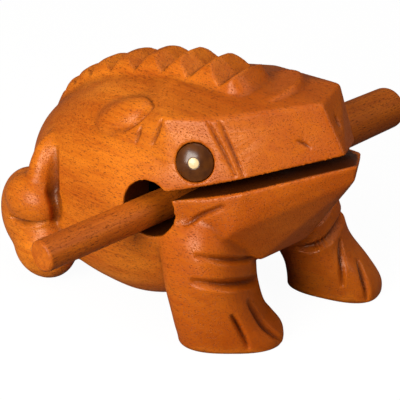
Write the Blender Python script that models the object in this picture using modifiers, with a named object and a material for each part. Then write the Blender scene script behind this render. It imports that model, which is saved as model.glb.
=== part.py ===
"""A carved wooden frog guiro: one hollowed block of wood with a toothed ridge along its back, a turned beater
that rests in the hole through its cheeks, and two inlaid eyes. Metres, +Z up; the frog looks along -Y."""

import math

import bmesh
import bpy
from mathutils import Matrix, Vector
from mathutils.bvhtree import BVHTree

MM = 0.001

# Torso: stations from rump to chest, each as along Y, half width, lowest and highest point
TORSO_STATIONS = [
    (79.0, 10.0, 26.0, 45.0),
    (75.0, 18.0, 16.0, 53.8),
    (67.0, 26.5, 8.0, 62.0),
    (55.0, 33.5, 4.0, 71.3),
    (40.0, 38.0, 1.5, 79.0),
    (24.0, 40.0, 0.5, 84.2),
    (8.0, 40.0, 1.5, 87.0),
    (-8.0, 38.0, 8.5, 88.0),
    (-22.0, 32.0, 24.0, 87.5),
    (-31.0, 22.0, 32.0, 86.5),
]
BACK_SQUARENESS = 2.1
BELLY_SQUARENESS = 3.0

# Ridge along the back: stations from rump to forehead, each as along Y and height of its rounded top
RIDGE_STATIONS = [
    (78.0, 47.0),
    (75.0, 56.2),
    (68.4, 66.6),
    (59.3, 74.5),
    (48.9, 81.4),
    (35.7, 87.5),
    (21.4, 92.3),
    (7.6, 95.6),
    (-6.3, 97.2),
    (-20.0, 98.0),
    (-23.5, 94.0),
]
RIDGE_HALF_WIDTH = 10.5
RIDGE_TAIL_HALF_WIDTH = 6.0
RIDGE_DEPTH = 16.0
RIDGE_SQUARENESS = 3.2

# Notches across the ridge, forehead to rump, each as along Y and height of its bottom on the middle line
NOTCHES = [
    (-13.8, 91.7),
    (1.0, 90.5),
    (14.2, 88.7),
    (28.4, 85.0),
    (41.8, 80.3),
    (53.6, 74.3),
    (62.9, 67.8),
    (69.8, 61.6),
]
NOTCH_HALF_ANGLE = 50.0
NOTCH_FALL = 6.0
NOTCH_HALF_LENGTH = 14.0
NOTCH_HEIGHT = 7.5

# Upper head, right side first and left side second where the carving differs: across X, along Y, height
SNOUT_TOP = (0.0, -52.0, 92.5)
SNOUT_LIP = (0.0, -63.2, 75.4)
BROW_CORNER_RIGHT = (-13.0, -36.0, 89.0)
BROW_CORNER_LEFT = (16.3, -47.0, 93.4)
BROW_EYE_RIGHT = (-24.0, -23.0, 85.3)
BROW_EYE_LEFT = (24.0, -23.0, 87.0)
BROW_BACK = (31.0, -6.5, 83.5)
LIP_CORNER_RIGHT = (-13.0, -47.5, 69.3)
LIP_CORNER_LEFT = (16.3, -55.2, 71.4)
LIP_EYE = (24.0, -36.0, 66.0)
LIP_JOWL = (31.5, -24.0, 60.5)
LIP_BACK = (35.0, -12.0, 59.0)
HEAD_BACK = (33.0, 14.0, 70.0)
HEAD_BACK_LOW = (36.0, 14.0, 54.0)
HEAD_CROWN = (12.0, 10.0, 88.0)

# Half-moon ledge in front of the ridge
LEDGE_CENTRE = (1.0, -25.0, 91.2)
LEDGE_RADIUS = 15.5
LEDGE_HEIGHT = 5.0
HEAD_TILT = 11.0

# Lower jaw
JAW_TIP = (0.0, -68.4, 74.8)
JAW_TIP_LOW = (0.0, -67.2, 67.8)
JAW_FRONT_RIGHT = (-15.0, -50.0, 66.5)
JAW_FRONT_LEFT = (17.2, -57.2, 69.6)
JAW_EYE = (26.5, -38.5, 63.5)
JAW_JOWL = (32.5, -25.0, 58.5)
JAW_CHEEK = (34.5, -18.0, 56.5)
JAW_CHEEK_LOW = (34.5, -13.0, 40.0)
CHIN_FRONT = (11.0, -47.0, 58.5)
CHIN_FACET = (22.0, -44.5, 58.5)
CHIN_SIDE = (28.5, -36.5, 48.0)
CHIN_LEG = (31.5, -22.5, 34.5)
THROAT = (0.0, -47.0, 38.0)
THROAT_SIDE = (14.0, -37.0, 31.0)
THROAT_BACK = (0.0, -10.0, 26.0)

# Oval lump behind the eye
LUMP_CENTRE = (25.9, 16.5, 75.4)
LUMP_RADII = (7.4, 13.6, 5.2)
LUMP_TURN = (-31.0, 34.0, -31.0)

# Knife lines, each as width, depth and points; those of a pair are given for the left side
BROW_LINE = (1.5, 1.0, [(24.5, -21.6, 84.7), (24.4, -28.0, 76.4), (24.3, -34.0, 68.0)])
BROW_FRONT_LINE = (1.2, 0.8, [(22.2, -25.0, 85.5), (22.2, -30.6, 77.0), (22.4, -36.4, 68.2)])
EYE_BACK_LINE = (1.6, 1.0, [(30.4, -5.9, 83.3), (31.8, -4.8, 78.4), (32.8, -2.9, 72.7)])
CHEEK_LINE = (1.6, 0.9, [(30.5, 3.5, 78.0), (32.4, 4.0, 74.6), (33.0, 4.9, 71.2)])
JAW_LINE = (2.2, 1.5, [(34.8, -19.8, 47.7), (31.7, -26.7, 53.4), (29.2, -33.1, 57.7)])
WRIST_LINE_UPPER = (2.6, 1.4, [
    (37.7, -28.1, 39.6), (34.4, -32.4, 38.8), (29.1, -34.8, 36.9), (21.1, -34.9, 33.5), (13.8, -35.5, 31.7),
])
WRIST_LINE_LOWER = (3.2, 2.0, [
    (39.4, -28.0, 29.9), (35.7, -33.6, 29.5), (28.5, -35.8, 27.2), (19.6, -34.2, 23.5), (12.5, -33.0, 21.0),
])
THIGH_LINE = (2.4, 1.4, [
    (34.6, 47.4, 59.5), (36.8, 44.8, 51.0), (37.6, 44.0, 43.0), (37.6, 44.2, 34.5),
])
KNEE_LINE = (2.4, 1.4, [(44.5, 62.5, 27.5), (44.5, 56.5, 27.6), (43.0, 50.5, 28.4), (41.0, 45.0, 30.0)])
LUMP_LINE = (1.4, 0.9, [
    (21.2, 17.0, 80.6), (21.6, 9.5, 82.0), (24.2, 4.0, 82.0), (28.2, 4.2, 79.0), (30.9, 11.0, 73.4),
    (31.8, 19.0, 70.8),
])
NOSTRIL_RIGHT = (1.4, 1.2, [(-8.2, -48.0, 80.1), (-7.0, -50.2, 79.3), (-6.1, -52.1, 78.1)])
NOSTRIL_LEFT = (1.4, 1.2, [(4.4, -53.4, 86.6), (4.4, -54.4, 84.7), (4.4, -55.3, 82.6)])
TOE_LINE_OUTER_RIGHT = (2.8, 2.0, [(-30.9, -38.8, 16.5), (-29.5, -41.6, 11.0), (-27.2, -44.0, 2.5)])
TOE_LINE_INNER_RIGHT = (4.6, 2.4, [
    (-23.9, -37.5, 18.2), (-20.8, -41.5, 12.8), (-17.6, -45.5, 7.5), (-13.0, -47.8, 1.2),
])
TOE_LINE_INNER_LEFT = (3.2, 2.0, [(28.4, -41.0, 23.3), (24.8, -44.5, 16.9), (23.4, -46.4, 7.5)])
TOE_LINE_OUTER_LEFT = (3.2, 2.0, [(32.1, -46.2, 14.7), (30.6, -50.2, 9.4), (30.6, -53.0, 1.6)])
PAIRED_LINES = [
    BROW_LINE, BROW_FRONT_LINE, EYE_BACK_LINE, CHEEK_LINE, JAW_LINE, WRIST_LINE_UPPER, WRIST_LINE_LOWER,
    THIGH_LINE,
]
CROSSING_LINES = [KNEE_LINE, LUMP_LINE]
SINGLE_LINES = [
    NOSTRIL_RIGHT, NOSTRIL_LEFT, TOE_LINE_OUTER_RIGHT, TOE_LINE_INNER_RIGHT, TOE_LINE_INNER_LEFT,
    TOE_LINE_OUTER_LEFT,
]
KNIFE_RISE = 1.2

# Openings
MOUTH_GAP = 3.4
MOUTH_PITCH = 19.3
MOUTH_BACK = (0.0, -10.0, 55.9)
MOUTH_REACH = 70.0
SLOT_WIDTH = 130.0
CROSS_HOLE_CENTRE = (-5.0, 50.0)
CROSS_HOLE_RADIUS = 10.5
HOLLOW_CENTRE = (0.0, 4.0, 50.0)
HOLLOW_RADII = (26.0, 36.0, 22.0)

# Eyes
EYE_CENTRE = (30.2, -20.3, 70.6)
EYE_FACING = (0.86, -0.42, 0.29)
EYE_DIAMETER = 13.6
EYE_DOME = 2.0
EYE_DEPTH = 4.0
EYE_SUNK = 0.9
PUPIL_DIAMETER = 3.9
PUPIL_DEPTH = 2.0
PUPIL_RISE = 0.1
SOCKET_RISE = 6.0
SEAT_GAP = 0.3

# Legs: rings from the ground up, each as height, centre X and Y, half width, half depth, turn in degrees
RIGHT_LEG_RINGS = [
    (-3.0, -20.0, -28.7, 13.6, 19.3, 42.0),
    (4.0, -20.5, -28.8, 14.4, 19.9, 42.0),
    (12.0, -23.5, -26.0, 15.0, 16.0, 30.0),
    (21.0, -25.0, -22.5, 15.5, 13.0, 15.0),
    (30.0, -25.0, -21.5, 15.5, 14.0, 8.0),
    (42.0, -24.0, -19.0, 14.5, 15.0, 0.0),
    (50.0, -22.0, -18.0, 11.0, 12.0, 0.0),
]
LEFT_LEG_RINGS = [
    (-3.0, 32.4, -35.6, 11.2, 17.8, 18.0),
    (4.0, 32.4, -35.6, 11.6, 18.2, 18.0),
    (12.0, 30.3, -33.0, 12.2, 16.2, 18.0),
    (21.0, 27.5, -27.5, 13.0, 14.5, 14.0),
    (30.0, 25.5, -24.0, 14.0, 15.0, 8.0),
    (42.0, 23.5, -20.0, 14.0, 15.0, 0.0),
    (50.0, 22.0, -18.0, 11.0, 12.0, 0.0),
]
LEG_SQUARENESS = 2.7

# Hind leg: lumps as centre, radii and turn about X, Y, Z in degrees
THIGH_CENTRE = (34.5, 49.5, 48.0)
THIGH_RADII = (7.5, 6.0, 23.0)
THIGH_TURN = (5.0, -16.0, 0.0)
HAUNCH_CENTRE = (34.0, 56.5, 25.5)
HAUNCH_RADII = (9.5, 15.5, 20.5)
KNEE_CENTRE = (38.0, 53.0, 35.5)
KNEE_RADII = (9.0, 12.5, 9.5)
HIND_FOOT_CENTRE = (37.0, 52.5, 14.5)
HIND_FOOT_RADII = (11.0, 15.8, 13.8)
NO_TURN = (0.0, 0.0, 0.0)

# Beater
STICK_LENGTH = 180.0
STICK_HANDLE_DIAMETER = 11.6
STICK_HEAD_DIAMETER = 18.0
STICK_TIP_DIAMETER = 16.5
STICK_HEAD_LENGTH = 48.0
STICK_TAPER_LENGTH = 7.0
STICK_TIP_ROUNDING = 5.0
STICK_END_BEVEL = 0.8
STICK_END_PLACE = (-83.2, 2.4, 46.9)
STICK_YAW = -5.2
STICK_RISE = 0.1

# Fineness: grain of the fused blank, share of its faces that stays, and steps round a turned part
VOXEL = 1.1
BLANK_SHARE = 0.053
LATHE_STEPS = 40

PARTS_NAME = "frog_guiro"

# Where the middle of the whole box stands before it is moved to the origin
BOX_MIDDLE = (6.35, 5.456, 0.0)

# Finishes
BODY_COLOUR = (0.52, 0.19, 0.055, 1.0)
STICK_COLOUR = (0.33, 0.11, 0.04, 1.0)
EYE_COLOUR = (0.035, 0.018, 0.01, 1.0)
PUPIL_COLOUR = (0.85, 0.76, 0.55, 1.0)


def point(values, side=1.0):
    """A named place in millimetres as a vector in metres, on the left (1) or mirrored to the right (-1)."""
    return Vector((values[0] * side, values[1], values[2])) * MM


def new_collection(name):
    """A collection of the scene."""
    collection = bpy.data.collections.new(name)
    bpy.context.scene.collection.children.link(collection)
    return collection


def clear_scene():
    """Empties the scene."""
    for obj in list(bpy.data.objects):
        bpy.data.objects.remove(obj, do_unlink=True)


def mesh_object(name, mesh, collection):
    """Puts a mesh into a collection as an object."""
    obj = bpy.data.objects.new(name, mesh)
    collection.objects.link(obj)
    return obj


def superellipse(half_width, half_height, squareness, count, lower_squareness=None):
    """Points round a rounded outline; a squareness of 2 is an ellipse, and the lower half may have another."""
    points = []
    for i in range(count):
        angle = 2.0 * math.pi * (i + 0.5) / count
        c = math.cos(angle)
        s = math.sin(angle)
        power = 2.0 / (lower_squareness if lower_squareness and s < 0.0 else squareness)
        points.append((
            half_width * math.copysign(abs(c) ** power, c),
            half_height * math.copysign(abs(s) ** power, s),
        ))
    return points


def loft(bm, rings):
    """Joins rings of equal length into one closed skin."""
    rows = [[bm.verts.new(p) for p in ring] for ring in rings]
    count = len(rows[0])
    for row, after in zip(rows, rows[1:]):
        for i in range(count):
            j = (i + 1) % count
            bm.faces.new((row[i], row[j], after[j], after[i]))
    bm.faces.new(list(reversed(rows[0])))
    bm.faces.new(rows[-1])


def finish_shell(bm):
    """Turns every face outward."""
    bmesh.ops.recalc_face_normals(bm, faces=bm.faces)


def smooth_rows(stations, steps):
    """Reads a smooth curve through the stations, a few rows to each span."""
    rows = []
    last = len(stations) - 1
    for i in range(last):
        before = stations[max(i - 1, 0)]
        here = stations[i]
        after = stations[i + 1]
        beyond = stations[min(i + 2, last)]
        for k in range(steps):
            t = k / steps
            rows.append(tuple(
                0.5 * (2 * b + (c - a) * t + (2 * a - 5 * b + 4 * c - d) * t ** 2
                       + (3 * b - a - 3 * c + d) * t ** 3)
                for a, b, c, d in zip(before, here, after, beyond)
            ))
    rows.append(tuple(stations[-1]))
    return rows


def add_torso(bm):
    """The round body, lofted from rump to chest."""
    rings = []
    for along, half_width, low, high in smooth_rows(TORSO_STATIONS, 3):
        centre = 0.5 * (low + high)
        outline = superellipse(half_width, 0.5 * (high - low), BACK_SQUARENESS, 40, BELLY_SQUARENESS)
        rings.append([Vector((x, along, centre + z)) * MM for x, z in outline])
    loft(bm, rings)


def add_ridge(bm):
    """The uncut ridge along the back."""
    rings = []
    rows = smooth_rows(RIDGE_STATIONS, 3)
    for i, (along, top) in enumerate(rows):
        share = min(1.0, i / (0.5 * len(rows)))
        half_width = RIDGE_TAIL_HALF_WIDTH + (RIDGE_HALF_WIDTH - RIDGE_TAIL_HALF_WIDTH) * share
        outline = superellipse(half_width, RIDGE_DEPTH, RIDGE_SQUARENESS, 24)
        rings.append([Vector((x, along, top - RIDGE_DEPTH + z)) * MM for x, z in outline])
    loft(bm, rings)


def add_hull(bm, corners):
    """The faceted block that a set of corners spans."""
    verts = [bm.verts.new(corner) for corner in corners]
    made = bmesh.ops.convex_hull(bm, input=verts)
    inside = [v for v in made["geom_interior"] if isinstance(v, bmesh.types.BMVert)]
    bmesh.ops.delete(bm, geom=inside, context="VERTS")


def both(values):
    """A place on the left and its mirror on the right."""
    return [point(values, 1.0), point(values, -1.0)]


def add_upper_head(bm):
    """The faceted head above the mouth."""
    corners = [point(p) for p in (
        SNOUT_TOP, SNOUT_LIP, BROW_CORNER_RIGHT, BROW_CORNER_LEFT, BROW_EYE_RIGHT, BROW_EYE_LEFT,
        LIP_CORNER_RIGHT, LIP_CORNER_LEFT,
    )]
    for values in (BROW_BACK, LIP_EYE, LIP_JOWL, LIP_BACK, HEAD_BACK, HEAD_BACK_LOW, HEAD_CROWN):
        corners += both(values)
    add_hull(bm, corners)


def add_lower_jaw(bm):
    """The faceted jaw and chin below the mouth."""
    corners = [point(p) for p in (JAW_TIP, JAW_TIP_LOW, JAW_FRONT_RIGHT, JAW_FRONT_LEFT, THROAT, THROAT_BACK)]
    for values in (JAW_EYE, JAW_JOWL, JAW_CHEEK, JAW_CHEEK_LOW, CHIN_FRONT, CHIN_FACET, CHIN_SIDE, CHIN_LEG,
                   THROAT_SIDE):
        corners += both(values)
    add_hull(bm, corners)


def add_ledge(bm):
    """The half-moon step between ridge and snout."""
    turn = Matrix.Rotation(math.radians(-HEAD_TILT), 4, "X")
    place = Matrix.Translation(point(LEDGE_CENTRE)) @ turn
    bmesh.ops.create_cone(bm, cap_ends=True, segments=32, radius1=LEDGE_RADIUS * MM,
                          radius2=(LEDGE_RADIUS - 1.5) * MM, depth=LEDGE_HEIGHT * MM, matrix=place)


def add_lump(bm, centre, radii, turn, side):
    """A ball stretched to three radii, turned about X, Y and Z, on the left or mirrored to the right."""
    size = Matrix.Diagonal((radii[0] * MM, radii[1] * MM, radii[2] * MM, 1.0))
    turned = (Matrix.Rotation(math.radians(turn[2] * side), 4, "Z")
              @ Matrix.Rotation(math.radians(turn[1] * side), 4, "Y")
              @ Matrix.Rotation(math.radians(turn[0]), 4, "X"))
    place = Matrix.Translation(point(centre, side)) @ turned @ size
    bmesh.ops.create_uvsphere(bm, u_segments=28, v_segments=18, radius=1.0, matrix=place)


def add_leg(bm, stations):
    """A front leg, lofted from its sole to the shoulder."""
    rings = []
    for height, x, y, half_width, half_depth, turn in smooth_rows(stations, 3):
        spin = Matrix.Rotation(math.radians(turn), 4, "Z")
        outline = superellipse(half_width, half_depth, LEG_SQUARENESS, 32)
        rings.append([(Vector((x, y, height)) + spin @ Vector((u, v, 0.0))) * MM for u, v in outline])
    loft(bm, rings)


def build_blank(collection):
    """The uncut block: every raised form fused into one skin."""
    bm = bmesh.new()
    add_torso(bm)
    add_ridge(bm)
    add_upper_head(bm)
    add_ledge(bm)
    add_lower_jaw(bm)
    add_leg(bm, RIGHT_LEG_RINGS)
    add_leg(bm, LEFT_LEG_RINGS)
    for side in (1.0, -1.0):
        add_lump(bm, LUMP_CENTRE, LUMP_RADII, LUMP_TURN, side)
        add_lump(bm, THIGH_CENTRE, THIGH_RADII, THIGH_TURN, side)
        add_lump(bm, HAUNCH_CENTRE, HAUNCH_RADII, NO_TURN, side)
        add_lump(bm, KNEE_CENTRE, KNEE_RADII, NO_TURN, side)
        add_lump(bm, HIND_FOOT_CENTRE, HIND_FOOT_RADII, NO_TURN, side)
    finish_shell(bm)
    mesh = bpy.data.meshes.new("frog_body")
    bm.to_mesh(mesh)
    bm.free()
    body = mesh_object("frog_body", mesh, collection)
    remesh = body.modifiers.new("Fuse", "REMESH")
    remesh.mode = "VOXEL"
    remesh.voxel_size = VOXEL * MM
    remesh.use_smooth_shade = True
    relax = body.modifiers.new("Relax", "SMOOTH")
    relax.factor = 0.5
    relax.iterations = 3
    thin = body.modifiers.new("Thin", "DECIMATE")
    thin.ratio = BLANK_SHARE
    return body


def cutter(name, bm, cutters):
    """Keeps a closed shape as a cutter that no render shows."""
    finish_shell(bm)
    mesh = bpy.data.meshes.new(name)
    bm.to_mesh(mesh)
    bm.free()
    obj = mesh_object(name, mesh, cutters)
    obj.hide_render = True
    obj.display_type = "WIRE"
    return obj


def frame_along(direction):
    """A turn that takes the Z axis to the direction."""
    return Vector(direction).normalized().to_track_quat("Z", "Y").to_matrix().to_4x4()


def make_mouth_cutter(cutters):
    """The slot between upper head and jaw, rising to the front and reaching back into the cheek hole."""
    bm = bmesh.new()
    tilt = Matrix.Rotation(math.radians(-MOUTH_PITCH), 4, "X")
    middle = Matrix.Translation(Vector((0.0, -0.5 * MOUTH_REACH, 0.0)) * MM)
    size = Matrix.Diagonal((SLOT_WIDTH * MM, MOUTH_REACH * MM, MOUTH_GAP * MM, 1.0))
    bmesh.ops.create_cube(bm, size=1.0, matrix=Matrix.Translation(point(MOUTH_BACK)) @ tilt @ middle @ size)
    return cutter("mouth_cutter", bm, cutters)


def make_hole_cutter(cutters):
    """The round hole bored from cheek to cheek."""
    bm = bmesh.new()
    along, height = CROSS_HOLE_CENTRE
    place = Matrix.Translation(point((0.0, along, height))) @ Matrix.Rotation(math.radians(90.0), 4, "Y")
    bmesh.ops.create_cone(bm, cap_ends=True, segments=64, radius1=CROSS_HOLE_RADIUS * MM,
                          radius2=CROSS_HOLE_RADIUS * MM, depth=SLOT_WIDTH * MM, matrix=place)
    return cutter("hole_cutter", bm, cutters)


def make_hollow_cutter(cutters):
    """The hollow that makes the frog sound."""
    bm = bmesh.new()
    size = Matrix.Diagonal((HOLLOW_RADII[0] * MM, HOLLOW_RADII[1] * MM, HOLLOW_RADII[2] * MM, 1.0))
    bmesh.ops.create_uvsphere(bm, u_segments=24, v_segments=14, radius=1.0,
                              matrix=Matrix.Translation(point(HOLLOW_CENTRE)) @ size)
    return cutter("hollow_cutter", bm, cutters)


def make_ground_cutter(cutters):
    """Planes the soles and the belly flat."""
    bm = bmesh.new()
    size = Matrix.Diagonal((SLOT_WIDTH * MM, 2.0 * SLOT_WIDTH * MM, 20.0 * MM, 1.0))
    bmesh.ops.create_cube(bm, size=1.0, matrix=Matrix.Translation(Vector((0.0, 0.0, -10.0)) * MM) @ size)
    return cutter("ground_cutter", bm, cutters)


def make_socket_cutter(side, cutters):
    """The round recess that an eye is let into."""
    bm = bmesh.new()
    facing = Vector((EYE_FACING[0] * side, EYE_FACING[1], EYE_FACING[2])).normalized()
    depth = EYE_DEPTH + SEAT_GAP
    radius = 0.5 * EYE_DIAMETER + SEAT_GAP
    middle = point(EYE_CENTRE, side) + facing * (SOCKET_RISE - depth) * 0.5 * MM
    place = Matrix.Translation(middle) @ frame_along(facing)
    bmesh.ops.create_cone(bm, cap_ends=True, segments=LATHE_STEPS, radius1=radius * MM,
                          radius2=radius * MM, depth=(depth + SOCKET_RISE) * MM, matrix=place)
    return cutter("left_socket_cutter" if side > 0 else "right_socket_cutter", bm, cutters)


def make_notch_cutter(name, first, cutters):
    """V cuts across the ridge, every second one from the first; each falls outward from the middle line."""
    bm = bmesh.new()
    fall = math.tan(math.radians(NOTCH_FALL)) * NOTCH_HALF_LENGTH
    spread = math.tan(math.radians(NOTCH_HALF_ANGLE)) * NOTCH_HEIGHT
    last = len(NOTCHES) - 1
    for i in range(first, len(NOTCHES), 2):
        along, height = NOTCHES[i]
        before = NOTCHES[max(i - 1, 0)]
        after = NOTCHES[min(i + 1, last)]
        slope = Vector((0.0, after[0] - before[0], after[1] - before[1])).normalized()
        up = Vector((0.0, -slope.z, slope.y))
        rings = []
        for x, drop in ((-NOTCH_HALF_LENGTH, fall), (0.0, 0.0), (NOTCH_HALF_LENGTH, fall)):
            bottom = Vector((x, along, height)) - up * drop
            top = bottom + up * NOTCH_HEIGHT
            rings.append([bottom * MM, (top - slope * spread) * MM, (top + slope * spread) * MM])
        loft(bm, rings)
    return cutter(name, bm, cutters)


def add_knife_line(bm, line, side, surface):
    """A V cut laid on the blank's surface along the line, running out at both ends."""
    width, depth, places = line
    path = []
    for place in smooth_rows(places, 3):
        spot, normal, _, _ = surface.find_nearest(point(place, side))
        path.append((spot, normal))
    rings = []
    last = len(path) - 1
    for i, (spot, normal) in enumerate(path):
        heading = (path[min(i + 1, last)][0] - path[max(i - 1, 0)][0]).normalized()
        across = heading.cross(normal).normalized()
        share = math.sin(math.pi * (0.12 + 0.76 * i / last)) ** 0.6
        half = 0.5 * width * MM * share * (1.0 + KNIFE_RISE / depth)
        over = spot + normal * KNIFE_RISE * MM
        rings.append([spot - normal * depth * MM * share, over + across * half, over - across * half])
    loft(bm, rings)


def make_knife_cutter(name, paired, single, cutters, surface):
    """All the V cuts of a list of pairs and a list of single lines."""
    bm = bmesh.new()
    for line in paired:
        add_knife_line(bm, line, 1.0, surface)
        add_knife_line(bm, line, -1.0, surface)
    for line in single:
        add_knife_line(bm, line, 1.0, surface)
    return cutter(name, bm, cutters)


def cut(body, tool):
    """Takes the cutter's shape out of the body."""
    modifier = body.modifiers.new("Cut " + tool.name, "BOOLEAN")
    modifier.operation = "DIFFERENCE"
    modifier.solver = "EXACT"
    modifier.use_self = True
    modifier.object = tool


def make_body(parts, cutters):
    """The carved frog: the blank with everything cut out of it."""
    body = build_blank(parts)
    graph = bpy.context.evaluated_depsgraph_get()
    surface = BVHTree.FromObject(body, graph)
    cut(body, make_hollow_cutter(cutters))
    cut(body, make_mouth_cutter(cutters))
    cut(body, make_hole_cutter(cutters))
    cut(body, make_notch_cutter("even_notch_cutter", 0, cutters))
    cut(body, make_notch_cutter("odd_notch_cutter", 1, cutters))
    cut(body, make_knife_cutter("knife_cutter", PAIRED_LINES, SINGLE_LINES, cutters, surface))
    cut(body, make_knife_cutter("crossing_knife_cutter", CROSSING_LINES, [], cutters, surface))
    cut(body, make_socket_cutter(1.0, cutters))
    cut(body, make_socket_cutter(-1.0, cutters))
    cut(body, make_ground_cutter(cutters))
    return body


def lathe(name, profile, place, parts):
    """Turns a profile of radius and height, in millimetres, round the Z axis, then sets it in place."""
    bm = bmesh.new()
    verts = [bm.verts.new((radius * MM, 0.0, height * MM)) for radius, height in profile]
    edges = [bm.edges.new(pair) for pair in zip(verts, verts[1:])]
    bmesh.ops.spin(bm, geom=verts + edges, cent=(0.0, 0.0, 0.0), axis=(0.0, 0.0, 1.0),
                   angle=2.0 * math.pi, steps=LATHE_STEPS, use_merge=True)
    bmesh.ops.remove_doubles(bm, verts=bm.verts, dist=1e-6)
    bmesh.ops.transform(bm, matrix=place, verts=bm.verts)
    finish_shell(bm)
    for face in bm.faces:
        face.smooth = True
    mesh = bpy.data.meshes.new(name)
    bm.to_mesh(mesh)
    bm.free()
    return mesh_object(name, mesh, parts)


def dome_height(radius):
    """Height of the eye's domed top at a radius, from the face of the head."""
    return EYE_DOME * (1.0 - (2.0 * radius / EYE_DIAMETER) ** 2) - EYE_SUNK


def make_eye(side, parts):
    """A dark domed disc let into its socket, with a well for the pale pin."""
    rim = 0.5 * EYE_DIAMETER
    well = 0.5 * PUPIL_DIAMETER + SEAT_GAP
    floor = dome_height(0.0) - PUPIL_DEPTH - SEAT_GAP
    profile = [(0.0, floor), (well, floor)]
    for i in range(7):
        radius = well + (rim - well) * i / 6
        profile.append((radius, dome_height(radius)))
    profile += [(rim, -EYE_DEPTH), (0.0, -EYE_DEPTH)]
    place = Matrix.Translation(point(EYE_CENTRE, side)) @ frame_along(
        (EYE_FACING[0] * side, EYE_FACING[1], EYE_FACING[2]))
    return lathe("left_eye" if side > 0 else "right_eye", profile, place, parts)


def make_pupil(side, parts):
    """The pale pin in the middle of an eye, rounded to the eye's dome."""
    rim = 0.5 * PUPIL_DIAMETER
    floor = dome_height(0.0) - PUPIL_DEPTH
    profile = [(0.0, floor), (rim, floor)]
    for i in range(4):
        radius = rim * (1.0 - i / 3)
        profile.append((radius, dome_height(radius) + PUPIL_RISE))
    place = Matrix.Translation(point(EYE_CENTRE, side)) @ frame_along(
        (EYE_FACING[0] * side, EYE_FACING[1], EYE_FACING[2]))
    return lathe("left_pupil" if side > 0 else "right_pupil", profile, place, parts)


def make_stick(parts):
    """The turned beater: a thin handle that swells into a thick head with a rounded tip."""
    handle = 0.5 * STICK_HANDLE_DIAMETER
    head = 0.5 * STICK_HEAD_DIAMETER
    tip = 0.5 * STICK_TIP_DIAMETER
    head_start = STICK_LENGTH - STICK_HEAD_LENGTH
    taper_start = head_start - STICK_TAPER_LENGTH
    profile = [
        (0.0, 0.0),
        (handle - STICK_END_BEVEL, 0.0),
        (handle, STICK_END_BEVEL),
        (handle, 0.5 * taper_start),
    ]
    for i in range(9):
        share = i / 8
        swell = 0.5 - 0.5 * math.cos(math.pi * share)
        profile.append((handle + (head - handle) * swell, taper_start + STICK_TAPER_LENGTH * share))
    for i in range(9):
        angle = 0.5 * math.pi * i / 8
        radius = tip - STICK_TIP_ROUNDING + STICK_TIP_ROUNDING * math.cos(angle)
        profile.append((radius, STICK_LENGTH - STICK_TIP_ROUNDING + STICK_TIP_ROUNDING * math.sin(angle)))
    profile.append((0.0, STICK_LENGTH))
    yaw = math.radians(STICK_YAW)
    rise = math.radians(STICK_RISE)
    heading = (math.cos(yaw) * math.cos(rise), math.sin(yaw) * math.cos(rise), math.sin(rise))
    place = Matrix.Translation(point(STICK_END_PLACE)) @ frame_along(heading)
    return lathe("striker_stick", profile, place, parts)


def paint(obj, name, colour, roughness, coat=0.0):
    """Gives the object its own plain finish."""
    material = bpy.data.materials.new(name)
    material.use_nodes = True
    material.diffuse_color = colour
    shader = material.node_tree.nodes["Principled BSDF"]
    shader.inputs["Base Color"].default_value = colour
    shader.inputs["Roughness"].default_value = roughness
    shader.inputs["Coat Weight"].default_value = coat
    obj.data.materials.append(material)


def main():
    """Builds every part, then moves the middle of the box to the origin."""
    clear_scene()
    parts = new_collection(PARTS_NAME)
    cutters = new_collection("cutters")
    paint(make_body(parts, cutters), "waxed_orange_wood", BODY_COLOUR, 0.42)
    paint(make_stick(parts), "waxed_red_brown_wood", STICK_COLOUR, 0.45)
    for side, name in ((1.0, "left"), (-1.0, "right")):
        paint(make_eye(side, parts), name + "_eye_dark_polish", EYE_COLOUR, 0.12, 1.0)
        paint(make_pupil(side, parts), name + "_pupil_cream", PUPIL_COLOUR, 0.3)
    for obj in list(parts.objects) + list(cutters.objects):
        obj.location = -point(BOX_MIDDLE)


main()
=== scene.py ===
"""Looks of a carved wooden frog guiro: the waxed frog, its turned beater and its inlaid eyes.

The frog is carved again here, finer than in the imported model: its rounded and faceted forms are fused
into one skin, the openings and the notches of the ridge are cut out of it, and the knife lines are
pressed into the skin. All sizes are in millimetres in the carver's own frame, with the frog looking
along -Y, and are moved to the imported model's frame at the end.
"""

import logging
import math
from dataclasses import dataclass, field
from enum import Enum

import bmesh
import bpy
import numpy as np
from mathutils import Matrix, Vector
from mathutils.bvhtree import BVHTree
from mathutils.kdtree import KDTree

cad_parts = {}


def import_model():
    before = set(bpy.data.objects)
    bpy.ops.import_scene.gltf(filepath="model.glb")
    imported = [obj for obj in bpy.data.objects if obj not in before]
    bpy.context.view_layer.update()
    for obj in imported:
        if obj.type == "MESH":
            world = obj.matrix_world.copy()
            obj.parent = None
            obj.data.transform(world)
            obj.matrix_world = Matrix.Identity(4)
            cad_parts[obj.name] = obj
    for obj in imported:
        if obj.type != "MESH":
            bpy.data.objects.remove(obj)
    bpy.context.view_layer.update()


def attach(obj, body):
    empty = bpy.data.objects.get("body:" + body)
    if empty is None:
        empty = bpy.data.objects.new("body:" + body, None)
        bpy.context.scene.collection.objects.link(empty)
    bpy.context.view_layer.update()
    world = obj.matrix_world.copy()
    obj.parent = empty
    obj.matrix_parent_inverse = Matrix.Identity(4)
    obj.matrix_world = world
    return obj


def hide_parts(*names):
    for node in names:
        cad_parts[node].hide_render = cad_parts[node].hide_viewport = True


LOG = logging.getLogger("frog_guiro")

MM = 0.001
# Powers of the sine that a knife line fades by at its ends.
SOFT_FADE = 1.1
CRISP_FADE = 0.55
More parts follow.
